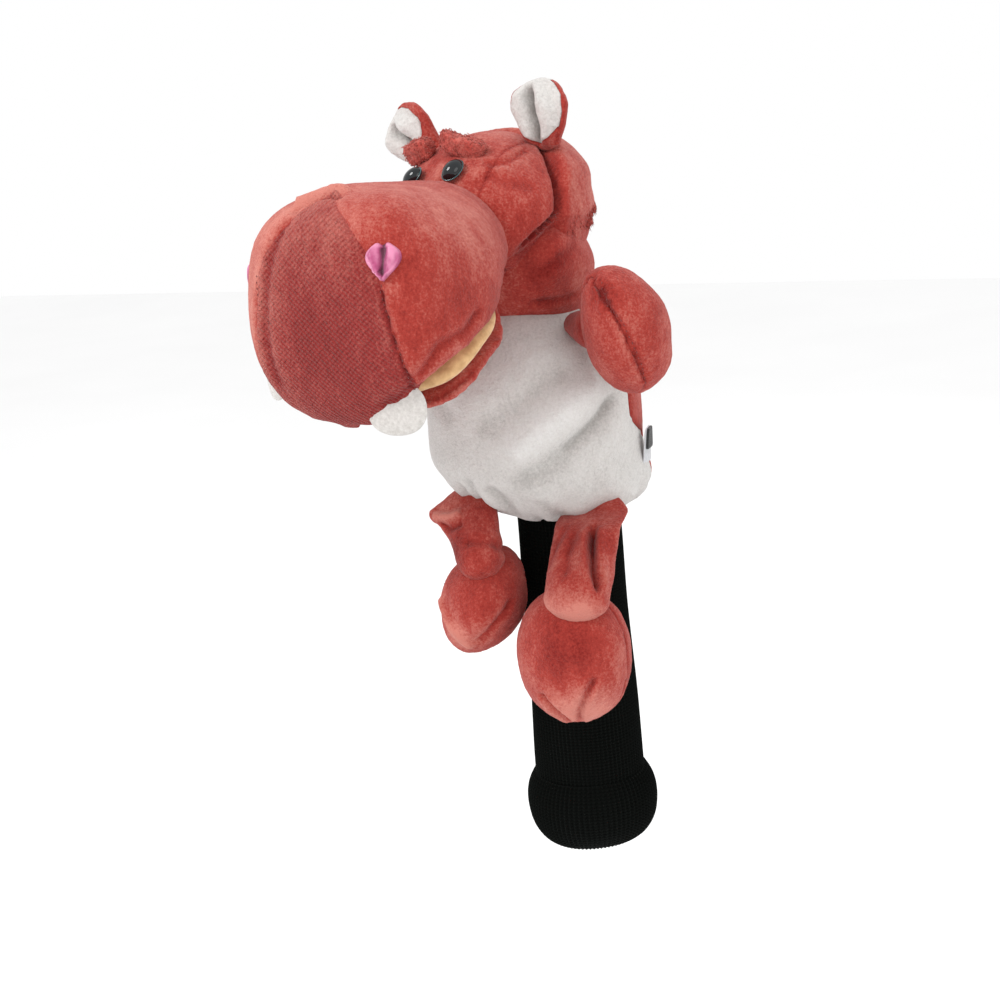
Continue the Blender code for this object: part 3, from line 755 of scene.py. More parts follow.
def on_form(form, u):
    """The place and outward normal of a form in direction u."""
    u = np.asarray(u, float) / np.linalg.norm(u)
    side = np.array(Vector(u).orthogonal().normalized())
    other = np.cross(u, side)
    step = 0.01
    fan = np.stack([u, u + side * step, u + other * step])
    fan /= np.linalg.norm(fan, axis=1, keepdims=True)
    here, first, second = form(fan, 0.0)
    normal = np.cross(first - here, second - here)
    return here, normal / np.linalg.norm(normal)


def placed(points, turn, centre):
    return np.asarray(points) @ np.asarray(turn).T + np.asarray(centre, float)


# --- where things are ---
JAW_TURN = HEAD_TURN @ rotation("X", PALATE_SLOPE)
JAW_PIVOT = head_world((0, 62, 358))[0]
PAWS = {
    "left": {"turn": rotation("Z", -28), "slant": rotation("X", 12),
             "root": np.array([30.6, -30.7, 340.0])},
    "right": {"turn": rotation("Z", 184), "slant": rotation("X", 10),
              "root": np.array([-64.4, -10.5, 340.0])},
}
ARM_FRAME = np.array([[0, 0, 1], [1, 0, 0], [0, 1, 0]], float)
LEGS = {
    "left": {"root": (31, -49, 227), "ankle": (30, -60, 190), "foot": (24.5, -62, 146),
             "turn": rotation("X", -4), "radii": (37.5, 31, 44), "power": 2.1,
             "sleeve": ((33.5, -42, 229), (34.5, -73, 185), 20.5, 20.5)},
    "right": {"root": (-50, -45, 230), "ankle": (-46, -49, 207), "foot": (-37, -53, 174),
              "turn": rotation("Z", 27) @ rotation("X", -12) @ rotation("Y", 30),
              "radii": (29, 32, 38), "power": 1.7,
              "sleeve": ((-47, -44, 234), (-32, -62, 203), 20.5, 14.5)},
}
PAW_RADII, PAW_REACH = (27, 27, 40), 45.0

MUZZLE_SEAM = [(-13, -181, 395), (-12, -180, 382), (-9, -179, 366), (-6, -179, 353),
               (-3, -175, 337), (-1, -172, 322)]
MUZZLE_RIM = [(-72, -152, 432), (-78, -158, 424), (-84, -162, 412), (-89, -163, 401),
              (-93, -164, 388), (-96, -164, 372), (-96, -163, 355), (-94, -162, 340),
              (-90, -160, 326)]


def swell_forms():
    """All the stuffed forms, a little small, and then blown up together."""
    ball, ball_quads = quad_sphere(30)
    fine, fine_quads = quad_sphere(46)
    skins, jobs = {}, []

    def stuff(name, points, quads, voxel, pressure, cap, slot="plush_coral"):
        skins[name] = piece(name, points, quads, slot)
        jobs.append((skins[name], voxel, pressure, cap))

    stuff("muzzle", muzzle_form(fine, 0.6), fine_quads, 4.5, 4.0, 3.0)
    stuff("skull", skull_form(fine, 1.5), fine_quads, 4.5, 4.0, 3.0)
    stuff("neck_panel_soft", neck_form(ball, 1.0), ball_quads, 5.0, 4.0, 3.0)
    stuff("body", body_form(fine, 1.5), fine_quads, 5.0, 4.0, 3.5, "plush_white")
    for word, arm in PAWS.items():
        arm["centre"] = arm["root"] + arm["turn"] @ np.array([PAW_REACH, 0, 0])
        form = super_ball(ball, np.array(PAW_RADII) - 2.5, 2.15)
        stuff("paw_" + word, placed(form, arm["turn"] @ arm["slant"], arm["centre"]), ball_quads,
              4.0, 4.5, 3.0)
    for word, leg in LEGS.items():
        form = super_ball(ball, np.array(leg["radii"]) - 2.0, leg["power"])
        stuff("foot_" + word, placed(form, leg["turn"], leg["foot"]), ball_quads, 4.0, 4.5, 3.0)
    # a shallow dish, raised at the hinge and dropped at its front lip
    jaw = super_ball(ball, (65.0, 46.0, 8.0), 2.6) + (0, -39, 0)
    jaw[:, 2] = np.minimum(jaw[:, 2], 2.2)
    jaw[:, 2] += 15 * smooth(jaw[:, 1], -26, 6) - 5 * smooth(-jaw[:, 1], 35, 78)
    stuff("jaw_panel_soft", placed(jaw, JAW_TURN, JAW_PIVOT), ball_quads, 3.5, 3.0, 1.6)
    inflate(jobs)
    return skins


# --- head ---
def front_field(points):
    """Above zero on the darker front panel of the muzzle, a shield between two seams."""
    w, f, z = head_local(points).T
    half = np.interp(z, (300, 315, 337, 350, 370, 395, 405, 424, 437, 442),
                     (46, 52, 54, 51, 48, 43, 38, 22, 2, -6))
    return np.minimum(half - np.abs(w), f - 138)


def make_muzzle(skin):
    far_seam = head_world(head_local(MUZZLE_SEAM) * (-1, 1, 1))
    points = get_points(skin)
    # over the tooth, at the corner of the lip, and twice along the muzzle's upper front edge
    for place, radius, push in (
            ((-10, -170, 308), 20, (0, 2, 6)), ((8, -163, 324), 12, (-5, 0, 9)),
            ((-76, -150, 434), 21, (8, 2, -5)), ((-42, -150, 448), 28, (0, 0, -7))):
        points = points + near(points, place, radius)[:, None] * push
    set_points(skin, points)
    folds = [
        (MUZZLE_SEAM, 1.4, 1.9),
        (MUZZLE_RIM, 4.0, 2.2),
        ([(-82, -142, 426), (-74, -143, 435), (-64, -144, 441), (-54, -146, 444),
          (-42, -149, 442)], 3.2, -4.0),
        ([(-80, -150, 424), (-72, -151, 432), (-62, -152, 438), (-52, -154, 439),
          (-43, -158, 436)], 2.2, 3.4),
        ([(-3, -175, 337), (5, -173, 343), (14, -170, 355), (23, -153, 361), (28, -140, 372)],
         2.6, 1.9),
        ([(-2, -174, 334), (-12, -177, 326), (-24, -178, 318)], 2.4, 1.3),
        (far_seam, 1.5, 1.1),
    ]
    # painted highlights along the lit rim and top of the muzzle, painted shade on its lower front
    # and shaded side
    painted_light_and_nap = [((-97, -150, 380), 26, 0.8), ((-90, -150, 345), 20, 0.5), ((-50, -140, 444), 30, 0.4),
            ((-90, -148, 412), 20, 0.6), ((-78, -150, 428), 12, 0.5),
            ((0, -120, 435), 34, 0.35), ((25, -130, 415), 26, 0.2), ((-60, -178, 355), 34, -0.28),
            ((-40, -160, 412), 24, 0.4), ((-30, -170, 385), 24, 0.15), ((30, -95, 375), 26, -0.3),
            ((25, -140, 368), 22, -0.25)]
    work(skin, 0.9, 26, 1, folds, painted_light_and_nap)
    pucker(skin, MUZZLE_SEAM, 4.0, 3.0, 0.3, 5)
    pucker(skin, MUZZLE_RIM, 7.0, 6.0, 0.5, 6)
    # dark paints shade along the seam between the two panels
    front, wrap = cut_panels(skin, front_field, (
        ("muzzle_front_soft", "plush_coral_face"), ("muzzle_wrap_soft", "plush_coral")),
        depth=0.35, dark=0.15)
    dress(front, "head", "muzzle_front", fill=0.9)
    dress(wrap, "head", "muzzle_wrap", "muzzle_filling", fill=0.9)
    tree = surface_tree(front, wrap)
    for word, path in (("left", MUZZLE_SEAM), ("right", far_seam)):
        stitches("muzzle_stitches_" + word, "head", path, tree, length=1.6, lift=0.35)
    return tree


def back_edge(z):
    """How far forward the head's side panels reach back to, at each height."""
    return np.interp(z, (386, 397, 407, 420, 431, 442, 454), (38, 27, 12, 6, 1, -8, -16))


def make_skull(skin):
    w, f, z = head_local(get_points(skin)).T
    ahead = f - back_edge(z)
    sides = smooth(np.abs(w), 18, 30)
    groove = bell(ahead, 0, 3.0) * smooth(z, 384, 392) * (0.25 + 0.75 * sides)
    nape = smooth(-ahead, 0, 4) * smooth(z, 398, 404)
    under = smooth(386 + (38 - f) * 21 / 27 - z, -1, 5) * smooth(f, 6, 12) * sides
    crown = smooth(-ahead, 0, 8) * smooth(z, 412, 426) * smooth(458 - z, 0, 10) * sides
    push_out(skin, -6.5 * groove + 2.5 * nape - 6.0 * under + 4.0 * crown)
    # painted shade in the groove round the side panels and under the head, a faint painted
    # highlight on the nape
    set_tone(skin, np.clip(-1.0 * groove - 0.4 * under + 0.25 * nape, -1, 1))
    crown_line = [(-8, -60, 443), (1, -50, 437), (8, -40, 443), (12, -26, 449)]
    # painted shade along these folds; painted highlight on top of the head and painted shade at
    # the other listed spots
    work(skin, 0.8, 20, 2, [
        (crown_line, 1.7, 1.4),
        ([(-3, -60, 428), (6, -52, 424), (14, -42, 418)], 4.0, 0.8),
        ([(2, -58, 436), (-6, -64, 430), (-12, -68, 426)], 3.0, 0.8),
        ([(-34, -62, 448), (-35, -67, 440), (-36, -70, 432)], 4.0, -1.0),
    ], [((-10, -20, 458), 22, 0.35), ((10, -50, 400), 16, -0.2), ((-20, -66, 432), 12, 0.2)])
    pucker(skin, crown_line, 4.0, 4.0, 0.5, 8)

    def crown_field(points):
        return 28 - np.abs(head_local(points)[:, 0])

    crown, sides = cut_panels(skin, crown_field, (
        ("head_crown_soft", "plush_coral"), ("head_sides_soft", "plush_coral")), depth=0.6)
    dress(crown, "head", "head_crown", "head_filling", fill=0.9)
    dress(sides, "head", "head_side_left", "head_side_right", fill=0.9)
    tree = surface_tree(crown, sides)
    # the shaggy lower edge of the nape
    roots, ways = [], []
    for _ in range(NAPE_TRIES):
        w = RNG.uniform(-58, 58)
        z = RNG.uniform(393, 404)
        start = Vector(head_world((w, RNG.uniform(-60, 6), z))[0])
        spot, normal, _, _ = tree.find_nearest(start)
        f = head_local(np.array(spot))[0, 1]
        if f < back_edge(spot.z) - 1 and spot.z < 406:
            roots.append(spot)
            ways.append(normal * 0.35 + Vector((0, 0, -1)))
    tufts("nape_pile", roots, ways, 5.0, 0.45, 0.2)


def make_brows():
    for word, side, centre, half, slope in (("left", 1, (8, 37, 448), (14.5, 5, 5.8), 20),
                                            ("right", -1, (-25, 35.5, 445), (10.5, 5, 6.6), -16)):
        u, quads = quad_sphere(18)
        box = super_ball(u, half, 3.6)
        box[:, 1] += 0.012 * box[:, 0] ** 2
        turn = HEAD_TURN @ rotation("Z", 8 * side) @ rotation("X", 14) @ rotation("Y", slope)
        points = placed(box, turn, head_world(centre)[0])
        brow = piece("brow_" + word + "_soft", points, quads, "plush_coral", "plush_long")
        work(brow, 1.0, 7, 3 + side, grain=0.5)
        dress(brow, "head", "brow_" + word)
        places, normals = get_points(brow), get_normals(brow)
        picked = RNG.choice(len(places), BROW_TUFTS)
        down = turn @ np.array([0.2 * side, -0.2, -0.8])
        roots = places[picked] + RNG.normal(0, 0.5, (BROW_TUFTS, 3))
        tufts("brow_pile_" + word, roots, normals[picked] * 0.8 + down, 1.5, 0.3, 0.3)


def make_eyes():
    for word, place in (("left", (0.2, -0.77, 0.6)), ("right", (-0.315, -0.79, 0.53))):
        point, normal = on_form(skull_form, place)
        turn = np.array(Vector(normal).to_track_quat("Z", "Y").to_matrix()) @ rotation("Z", -32)
        u, quads = quad_sphere(20)
        dome = u * (EYE_RADIUS, 7.3, 5.0)
        dome[:, 2] = np.maximum(dome[:, 2], -1.0)
        dome = placed(dome, turn, point + normal * 1.2)
        dress(piece(f"eye_{word}_gloss", dome, quads, "eye_black"), "head", "eye_" + word)
        across, around = np.meshgrid(np.linspace(0, 2 * math.pi, 10, endpoint=False),
                                     np.linspace(0, 2 * math.pi, 48, endpoint=False),
                                     indexing="ij")
        radius = EYE_RADIUS + RIM * np.cos(across)
        points, faces = turned(np.stack([radius * np.cos(around),
                                         radius * EYE_OVAL * np.sin(around),
                                         RIM * np.sin(across)], -1))
        rim = piece(f"eye_rim_{word}", placed(points, turn, point + normal * 1.3), faces,
                    "eye_black", "eye_rim")
        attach(rim, "head")


def make_nostrils(tree):
    u, quads = quad_sphere(26)
    for word, centre in (("left", (0.37, 0.245, 0.9)), ("right", (-0.8, 0.2, 0.55))):
        point, normal = on_form(muzzle_form, centre)
        up = np.array([0, 0, 1.0]) - normal * normal[2]
        up /= np.linalg.norm(up)
        right = np.cross(up, normal)
        t = (u[:, 1] + 1) / 2
        half = 10.6 * np.sin(math.pi * np.minimum(t, 0.72) / 1.44) ** 0.75 * (
            1 - 0.35 * smooth(t, 0.72, 1))
        a = u[:, 0] * half
        b = -11.8 + 21.5 * t - 2.5 * bell(u[:, 0], 0, 0.3) * smooth(t, 0.6, 1)
        ring = np.hypot(u[:, 0], u[:, 1])
        fold = bell(u[:, 0], 0.25 * (t - 0.5), 0.13) * smooth(t, 0.05, 0.3)
        petals = bell(np.abs(u[:, 0]), 0.5, 0.28)
        edge = bell(ring, 0.86, 0.09)
        high = np.where(u[:, 2] > 0, np.maximum(2.4 * (1 - ring ** 6) + 1.5 * petals - 2.6 * fold
                                                + 0.9 * edge, 0.7), -1.2)
        flat = point + a[:, None] * right + b[:, None] * up
        points = []
        for place, lift in zip(flat, high):
            spot, facing, _, _ = tree.find_nearest(Vector(place))
            points.append(tuple(spot + facing * (lift - 0.3)))
        patch = piece(f"nostril_{word}_satin", points, quads, "satin_pink")
        # painted highlights on the raised petals and rim, painted shade in the fold, creases and
        # underside
        top = u[:, 2] > 0
        painted_crease_shading = 0.35 * np.sin(9 * u[:, 0] + 5 * t) * bell(t, 0.5, 0.4)
        set_tone(patch, np.where(top, 0.35 * petals + 0.5 * edge - 1.0 * fold + painted_crease_shading, -0.3))
        dress(patch, "head", "nostril_" + word)


def make_teeth():
    u, quads = quad_sphere(22)
    for place, slant, size, word in (((37, 152, 322), 10, (19, 15.5), "left"),
                                     ((-55, 147, 333), -28, (15, 13), "right")):
        points = super_ball(u, (size[0], 1.9, size[1]), 2.3)
        ring = np.hypot(points[:, 0] / size[0], points[:, 2] / size[1])
        points[:, 1] *= 1 - 0.2 * bell(ring, 0.84, 0.05)
        points[:, 1] += 0.006 * points[:, 0] ** 2
        turn = HEAD_TURN @ rotation("Z", slant)
        tooth = piece(f"tooth_{word}_felt", placed(points, turn, head_world(place)[0]), quads,
                      "felt_white")
        work(tooth, 0.25, 9, 4, grain=0.06)
        dress(tooth, "head", "tooth_" + word)


def make_mouth(jaw):
    edge = [placed([(w, -y, 1.0)], JAW_TURN, JAW_PIVOT)[0]
            for w, y in ((63, 38), (58, 60), (48, 75), (30, 82), (0, 84), (-30, 82), (-48, 75),
                         (-58, 60), (-63, 38))]
    # painted shade along the jaw's edge fold; the spot makes the front of the jaw lighter
    work(jaw, 0.4, 16, 6, [(edge, 1.6, 0.8)], [((10, -140, 333), 18, 0.2)])
    dress(jaw, "jaw", "jaw_panel", "jaw_filling", fill=0.7)
    u, quads = quad_sphere(34)
    slab = super_ball(u, (63.0, 43.5, 11.0), 2.4)
    slab[:, 2] = np.clip(slab[:, 2], -9.5, 9.5) * (1 - 0.55 * smooth(slab[:, 1], -6, 30))
    slab[:, 2] -= 5 * smooth(-slab[:, 1], -5, 38)
    slab += (0, -40, 10.5)
    lining = piece("mouth_lining", placed(slab, JAW_TURN, JAW_PIVOT), quads, "lining_tan")
    work(lining, 0.7, 12, 7, grain=0.15)
    blend(lining)
    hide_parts("palate_lining", "jaw_lining")


def make_ears():
    u, quads = quad_sphere(36)
    for word, side, place, lean, shift, nudge in (
            ("left", 1, (0.58, 0.12, 0.7), 6, 0.8, (2.5, 0, -3.0)),
            ("right", -1, (-0.74, 0.05, 0.6), 42, 3.2, (0, 0, 0))):
        root, normal = on_form(skull_form, place)
        turn = HEAD_TURN @ rotation("Y", lean * side) @ rotation("Z", 4 * side)
        origin = root - normal * 1.5 + nudge
        local = limb_form(u, EAR_BASE, (10, 4.0), (18.0, 5.0))
        local[:, 2] = np.where(u[:, 2] > 0, EAR_BASE + u[:, 2] * EAR_TIP, local[:, 2])
        x, y, z = local.T
        front = smooth(-y, -0.5, 1.0)
        tall = smooth(z, 1, 10)
        half = np.interp(z, (0, 8, 16, 25, 34, 40, 42.5), (10, 13, 16.5, 18, 15, 8, 2))
        crease = x + 1.0 + 5.5 * smooth(z, 10, 38)
        share = np.clip(np.abs(crease) / np.maximum(half - 2, 1e-6), 0, 1)
        roll = np.sin(math.pi * share) ** 0.8 * smooth(EAR_BASE + EAR_TIP - z, 0, 12)
        fold = bell(crease, 0, 2.4) * smooth(40 - z, 0, 9)
        cup = -0.016 * x ** 2 * tall
        local[:, 1] += tall * front * (4.5 * fold - 5.5 * roll) + cup + 1.5 * (1 - front) * tall
        ear = piece("ear_" + word, placed(local, turn, origin), quads, "plush_coral")
        # painted shade: the tone is darkened in the deep fold between the ear's two lobes
        set_tone(ear, -0.9 * fold * front * tall)
        work(ear, 0.9, 9, 10 + side, grain=0.25)

        def lining_field(points, turn=turn, origin=origin, shift=shift):
            x, y, z = ((points - origin) @ turn).T
            half = np.interp(z, (0, 5, 9, 16, 25, 34, 40, 42), (-5, 0, 8, 14, 16.5, 14.5, 9, 4))
            return np.minimum(half - np.abs(x + shift), (-0.016 * x ** 2 + 2.8 - y) * 2)

        lining, back = cut_panels(ear, lining_field, (
            (f"ear_{word}_lining_soft", "plush_white"),
            (f"ear_{word}_back_soft", "plush_coral")), thick=1.2, depth=0.5)
        dress(lining, "ear_" + word, f"ear_{word}_lining")
        dress(back, "ear_" + word, f"ear_{word}_back")


# --- body, arms and legs ---
def make_neck(skin):
    push_out(skin, 13 * near(get_points(skin), (21, -38, 389), 20))
    ring = [(5, -45, 354), (14, -40, 354), (23, -31, 354), (30, -18, 355)]
    # painted shade along the ring seam, the fold and near the groove, and a painted highlight
    # lower on the side
    work(skin, 1.2, 18, 9, [(ring, 2.2, 1.6), ([(14, -44, 372), (22, -36, 380), (30, -22, 386)],
                                               4.0, 1.2)],
         [((20, -42, 372), 16, -0.45), ((30, -24, 366), 10, 0.3)])
    dress(skin, "neck", "neck_panel", "neck_filling", fill=0.8)


def make_body(skin):
    points = get_points(skin)
    x, y = (points[:, :2] - body_axis(points[:, 2])).T
    around = np.arctan2(y, x)
    wander = ripple(points, 30, 12)
    gather = np.sin(13 * around + 3.0 * wander) * smooth(262 - points[:, 2], 0, 24)
    push_out(skin, 1.3 * gather + 4.0 * near(points, (-54, -46, 246), 24))
    folds = [
        ([(54, -22, 298), (46, -40, 284), (32, -56, 271), (12, -67, 257), (-8, -72, 247)],
         7.0, 3.6),
        ([(54, -22, 298), (48, -36, 287), (38, -50, 277), (26, -60, 268)], 3.0, 1.6),
        ([(50, -34, 312), (36, -54, 298), (18, -67, 284), (-4, -73, 268)], 9.0, -2.2),
        ([(40, -50, 324), (20, -64, 310), (0, -71, 296), (-24, -71, 282)], 8.0, 1.8),
        ([(-33, -67, 256), (-31, -60, 243), (-34, -44, 230)], 3.5, 2.2),
        ([(-40, -62, 252), (-41, -54, 240), (-44, -42, 232)], 3.0, 1.8),
        ([(-20, -69, 250), (-14, -60, 236), (-12, -46, 226)], 4.0, 2.4),
        ([(10, -62, 240), (14, -52, 229), (16, -42, 222)], 4.0, 1.5),
        ([(-60, -36, 318), (-50, -54, 300), (-36, -66, 288)], 6.0, 1.5),
        ([(40, 30, 320), (20, 52, 300), (-10, 60, 286), (-40, 52, 280)], 8.0, 2.2),
        ([(-14, 58, 340), (-14, 62, 300), (-12, 60, 262), (-6, 52, 232)], 2.0, 1.2),
        ([(-60, 28, 300), (-48, 46, 280), (-30, 56, 262)], 6.0, 1.8),
    ]
    # painted shade along these folds; the spots make the belly darker low at the front and
    # lighter higher up
    work(skin, 1.6, 34, 11, folds, [((20, -60, 250), 30, -0.15), ((-20, -72, 300), 34, 0.15)],
         grain=0.3)

    def side_seam(points):
        return -8.0 + 34 * smooth(points[:, 2], 282, 250) * (points[:, 0] > 0) - points[:, 1]

    def outside_sock(points):
        away = np.hypot(points[:, 0], points[:, 1]) - SOCK_OPENING
        return np.where(points[:, 2] < 240, away, 50.0)

    belly, back = cut_panels(skin, side_seam, (
        ("belly_panel_soft", "plush_white"), ("back_panel_soft", "plush_coral")),
        depth=1.6, hole=outside_sock)
    dress(belly, "cover", "belly_panel", fill=0.5)
    dress(back, "cover", "back_panel", fill=0.5)

    u, quads = quad_sphere(24)
    padding = piece("body_padding_soft", body_form(u, 10.5), quads, "filling")
    front, rear = cut_panels(padding, side_seam, (
        ("body_padding_front", "filling"), ("body_padding_back", "filling")),
        thick=1.0, depth=0.0, hole=outside_sock)
    dress(front, "cover", "body_padding", fill=0.5)
    dress(rear, "cover", fill=0.5)


def cut_limb(skin, field, body, limb, front, rear):
    """Cuts a paw or foot into its two panels. The rear one also stands for the filling."""
    panels = cut_panels(skin, field, (
        (f"{limb}_{front}_soft", "plush_coral"), (f"{limb}_{rear}_soft", "plush_coral")),
        depth=0.9)
    dress(panels[0], body, f"{limb}_{front}", fill=0.9)
    dress(panels[1], body, f"{limb}_{rear}", f"{limb}_filling", fill=0.9)
    return panels


def make_arm(word, skin):
    arm = PAWS[word]
    turn, root, centre = arm["turn"], arm["root"], arm["centre"]
    u, quads = quad_sphere(24)
    sleeve = limb_form(u, 28, (9, 6.0), (17.5, 13.5)) - (0, 0, 6)
    out = placed(placed(sleeve, ARM_FRAME, (0, 0, 0)), turn, root)
    cloth = piece(f"arm_{word}_sleeve_soft", out, quads, "plush_coral")
    # painted shade: the sleeve is darkened overall and most at its root
    work(cloth, 0.8, 12, 14, painted_light_and_nap=[(root, 30, -0.3)])
    set_tone(cloth, np.clip(tone_of(cloth) - 0.2, -1, 1))
    blend(cloth)
    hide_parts(f"arm_{word}_sleeve")

    def seam_y(z):
        return np.interp(z, (-38, -29, -5, 17, 30, 40), (0, -2, -14.5, -20, -21.5, -14))

    path = []
    for z in np.linspace(33, -30, 10):
        out = 0.35 + 0.65 * smooth(28 - z, 0, 30)
        x = 0.5 + 21.5 * math.sqrt(max(0.0, 1 - (z / 41) ** 2)) * out
        path.append(placed([(x, seam_y(z), z)], turn, centre)[0])
    if word == "left":
        points = get_points(skin)
        peak = smooth(points[:, 2] - centre[2], 12, 42)
        set_points(skin, points + peak[:, None] * (-6, -2.5, 1.5))
    path = np.array(laid_on(surface_tree(skin), path))
    gather = path[1]
    # painted shade along the seam, at the gather and on the paw's back side, a painted highlight
    # on its front
    work(skin, 1.0, 16, 15, [(path, 1.8, 1.6)],
         [(gather, 9, -0.5), (centre + turn @ np.array([10.0, -24, -14]), 16, 0.25),
          (centre + turn @ np.array([-22.0, -8, 0]), 17, -0.8)])
    pucker(skin, path, 4.5, 4.5, 0.4, 16)
    star = get_points(skin) - gather
    gap = np.linalg.norm(star, axis=1)
    flat = star @ turn
    beat = np.sin(7 * np.arctan2(flat[:, 2], flat[:, 0]))
    push_out(skin, 0.6 * beat * bell(gap, 5, 5) - 1.3 * bell(gap, 0, 5))

    def seam_field(points):
        _, y, z = ((points - centre) @ turn).T
        return seam_y(z) - y

    panels = cut_limb(skin, seam_field, "arm_" + word, "paw_" + word, "back", "palm")
    stitches("paw_stitches_" + word, "arm_" + word, path, surface_tree(*panels),
             length=1.7, lift=0.2)


def make_leg(word, skin):
    leg = LEGS[word]
    top, end, wide, narrow = leg["sleeve"]
    turn = frame_along(np.subtract(end, top))
    u, quads = quad_sphere(40)
    local = limb_form(u, np.linalg.norm(np.subtract(end, top)) + 9, (wide, 5.0), (narrow, 14))
    sleeve = placed(local - (0, 0, 9), turn, top)
    if word == "left":
        # the top is tucked in behind the hem
        sleeve[:, 1] += 14 * smooth(sleeve[:, 2], 221, 229)
    else:
        corner = near(sleeve, (-64, -56, 228), 10)
        sleeve = sleeve + corner[:, None] * (-7, -5, 0)
    thigh = piece(f"thigh_{word}_soft", sleeve, quads, "plush_coral")
    # painted shade along the folds and the deep pleat, painted highlights on the hem and the top
    # facet at the listed spots
    if word == "left":
        folds = [([(39, -52, 228), (42, -62, 214), (46, -72, 202), (52, -78, 191)], 2.3, 7.0),
                 ([(30, -56, 222), (29, -66, 208), (31, -76, 196)], 3.0, 1.2),
                 ([(22, -54, 224), (19, -62, 210), (17, -68, 198)], 3.0, 1.2)]
        painted_light_and_nap = [((30, -88, 174), 14, 0.95), ((16, -76, 178), 11, 0.75),
                ((44, -84, 178), 11, 0.75), ((42, -60, 216), 9, -0.5), ((28, -64, 214), 10, -0.2)]
    else:
        folds = [([(-66, -58, 228), (-54, -60, 228), (-44, -58, 232)], 2.4, -3.0),
                 ([(-62, -60, 222), (-52, -63, 221), (-42, -62, 226)], 2.2, 2.2),
                 ([(-38, -64, 212), (-30, -60, 206), (-26, -54, 202)], 2.6, 1.8)]
        painted_light_and_nap = [((-58, -58, 236), 12, 0.5), ((-44, -66, 208), 12, -0.6)]
    work(thigh, 0.8, 12, 20 + len(word), folds, painted_light_and_nap)
    blend(thigh)
    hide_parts("thigh_" + word)

    centre = np.array(leg["foot"], float)
    # painted highlights on the toes and edges, partly paler brushed nap; painted shade where the
    # foot tucks under the thigh and along the folds
    if word == "left":
        folds = [([(11, -90, 130), (17, -89, 121), (23, -84, 111), (27, -72, 104)], 2.1, 3.2),
                 ([(50, -86, 142), (43, -89, 130), (35, -86, 116), (29, -72, 104)], 2.1, 3.2)]
        painted_light_and_nap = [((28, -84, 120), 20, 0.7), ((42, -80, 118), 14, 0.6), ((28, -92, 160), 20, -0.45),
                ((-4, -76, 150), 12, 0.25), ((58, -70, 150), 10, 0.25)]
    else:
        folds = [([(-64, -66, 180), (-54, -78, 170), (-42, -82, 156), (-36, -74, 147)],
                  3.0, -2.4),
                 ([(-16, -62, 180), (-22, -74, 164), (-32, -78, 150)], 2.2, 2.0)]
        painted_light_and_nap = [((-44, -80, 156), 14, 0.45), ((-62, -66, 178), 9, 0.35),
                ((-30, -60, 188), 12, -0.3)]
    work(skin, 1.0, 16, 24 + len(word), folds, painted_light_and_nap)

    def seam_field(points):
        return -((points - centre) @ leg["turn"])[:, 1]

    cut_limb(skin, seam_field, "foot_" + word, "foot_" + word, "sole", "upper")


# --- sock, cuff and labels ---
def rounded_profile(profile, rounds=3):
    """Cuts the corners of an open line of (radius, height) points, over and over."""
    line = np.asarray(profile, float)
    for _ in range(rounds):
        first, second = line[:-1], line[1:]
        mid = np.stack([0.75 * first + 0.25 * second, 0.25 * first + 0.75 * second], 1)
        line = np.concatenate([line[:1], mid.reshape(-1, 2), line[-1:]])
    return line


def ribbed(name, node, outer, inner, deep):
    """A knitted tube: outer and inner are lines of (radius, height), the ribs stand deep high."""
    around = np.linspace(0, 2 * math.pi, RIBS * STEPS_PER_RIB, endpoint=False)
    rings = []
    for line, rib in ((outer, deep), (inner, 0.3)):
        for radius, z in line:
            drift = 0.35 * np.sin(around * 2 + z / 31) + 0.3 * np.sin(around * 3 - z / 17)
            wave = 0.5 * np.cos(RIBS * around + 0.15 * np.sin(z / 9))
            r = radius + rib * (wave + 0.12 * np.cos(2 * RIBS * around)) + drift * (rib > 0.5)
            rings.append(np.stack([r * np.cos(around), r * np.sin(around),
                                   np.full_like(around, z)], 1))
    points, faces = turned(np.array(rings)[::-1])
    dress(piece(name, points, faces, "knit_black"), "cover", node)


def make_knit():
    heights = np.linspace(43.5, 233, 80)
    outer = [(31 + 3 * float(smooth(232 - z, 0, 188)), z) for z in heights]
    inner = [(r - 2.2, z) for r, z in outer[::-8]]
    ribbed("knit_sock_ribbed", "knit_sock", outer, inner, 1.1)
    bulge = rounded_profile([(26.5, 0.2), (29, 0.0), (34.5, 4.0), (39.4, 13), (41, 27),
                             (39.4, 37), (35.4, 44.5)])
    dense = []
    for first, second in zip(bulge[:-1], bulge[1:]):
        steps = max(1, int(np.linalg.norm(second - first) / 1.3))
        dense += [tuple(first + (second - first) * k / steps) for k in range(steps)]
    dense.append(tuple(bulge[-1]))
    turned_in = rounded_profile([(34.2, 45.5), (32.0, 44.0), (35.5, 30), (34.6, 15), (30.2, 9.4),
                                 (30.0, 2.4), (25.6, 2.0)], 2)
    ribbed("knit_cuff_ribbed", "knit_cuff", dense, [tuple(p) for p in turned_in], 1.4)


def make_labels():
    point, normal = on_form(body_form, (0.95, 0.2, -0.1))
    point = point - (0, 0, 8)
    turn = np.array(Vector(normal).to_track_quat("X", "Z").to_matrix())
    u, quads = quad_sphere(20)
    for name, node, slot, start, half in (
            ("care_label_satin", "care_label", "label_satin", 2.6, (0.5, 8, 11)),
            ("label_loop_ribbon", "label_loop", "loop_black", 4.0, (0.9, 5.5, 6.5))):
        sheet = super_ball(u, half, 7.0)
        sheet[:, 2] -= half[2]
        hang = -sheet[:, 2] / 16
        sheet[:, 0] += start - 1.2 * hang + 0.7 * hang * np.sin(sheet[:, 1] / 4.5)
        dress(piece(name, placed(sheet, turn, point), quads, slot), "cover", node)


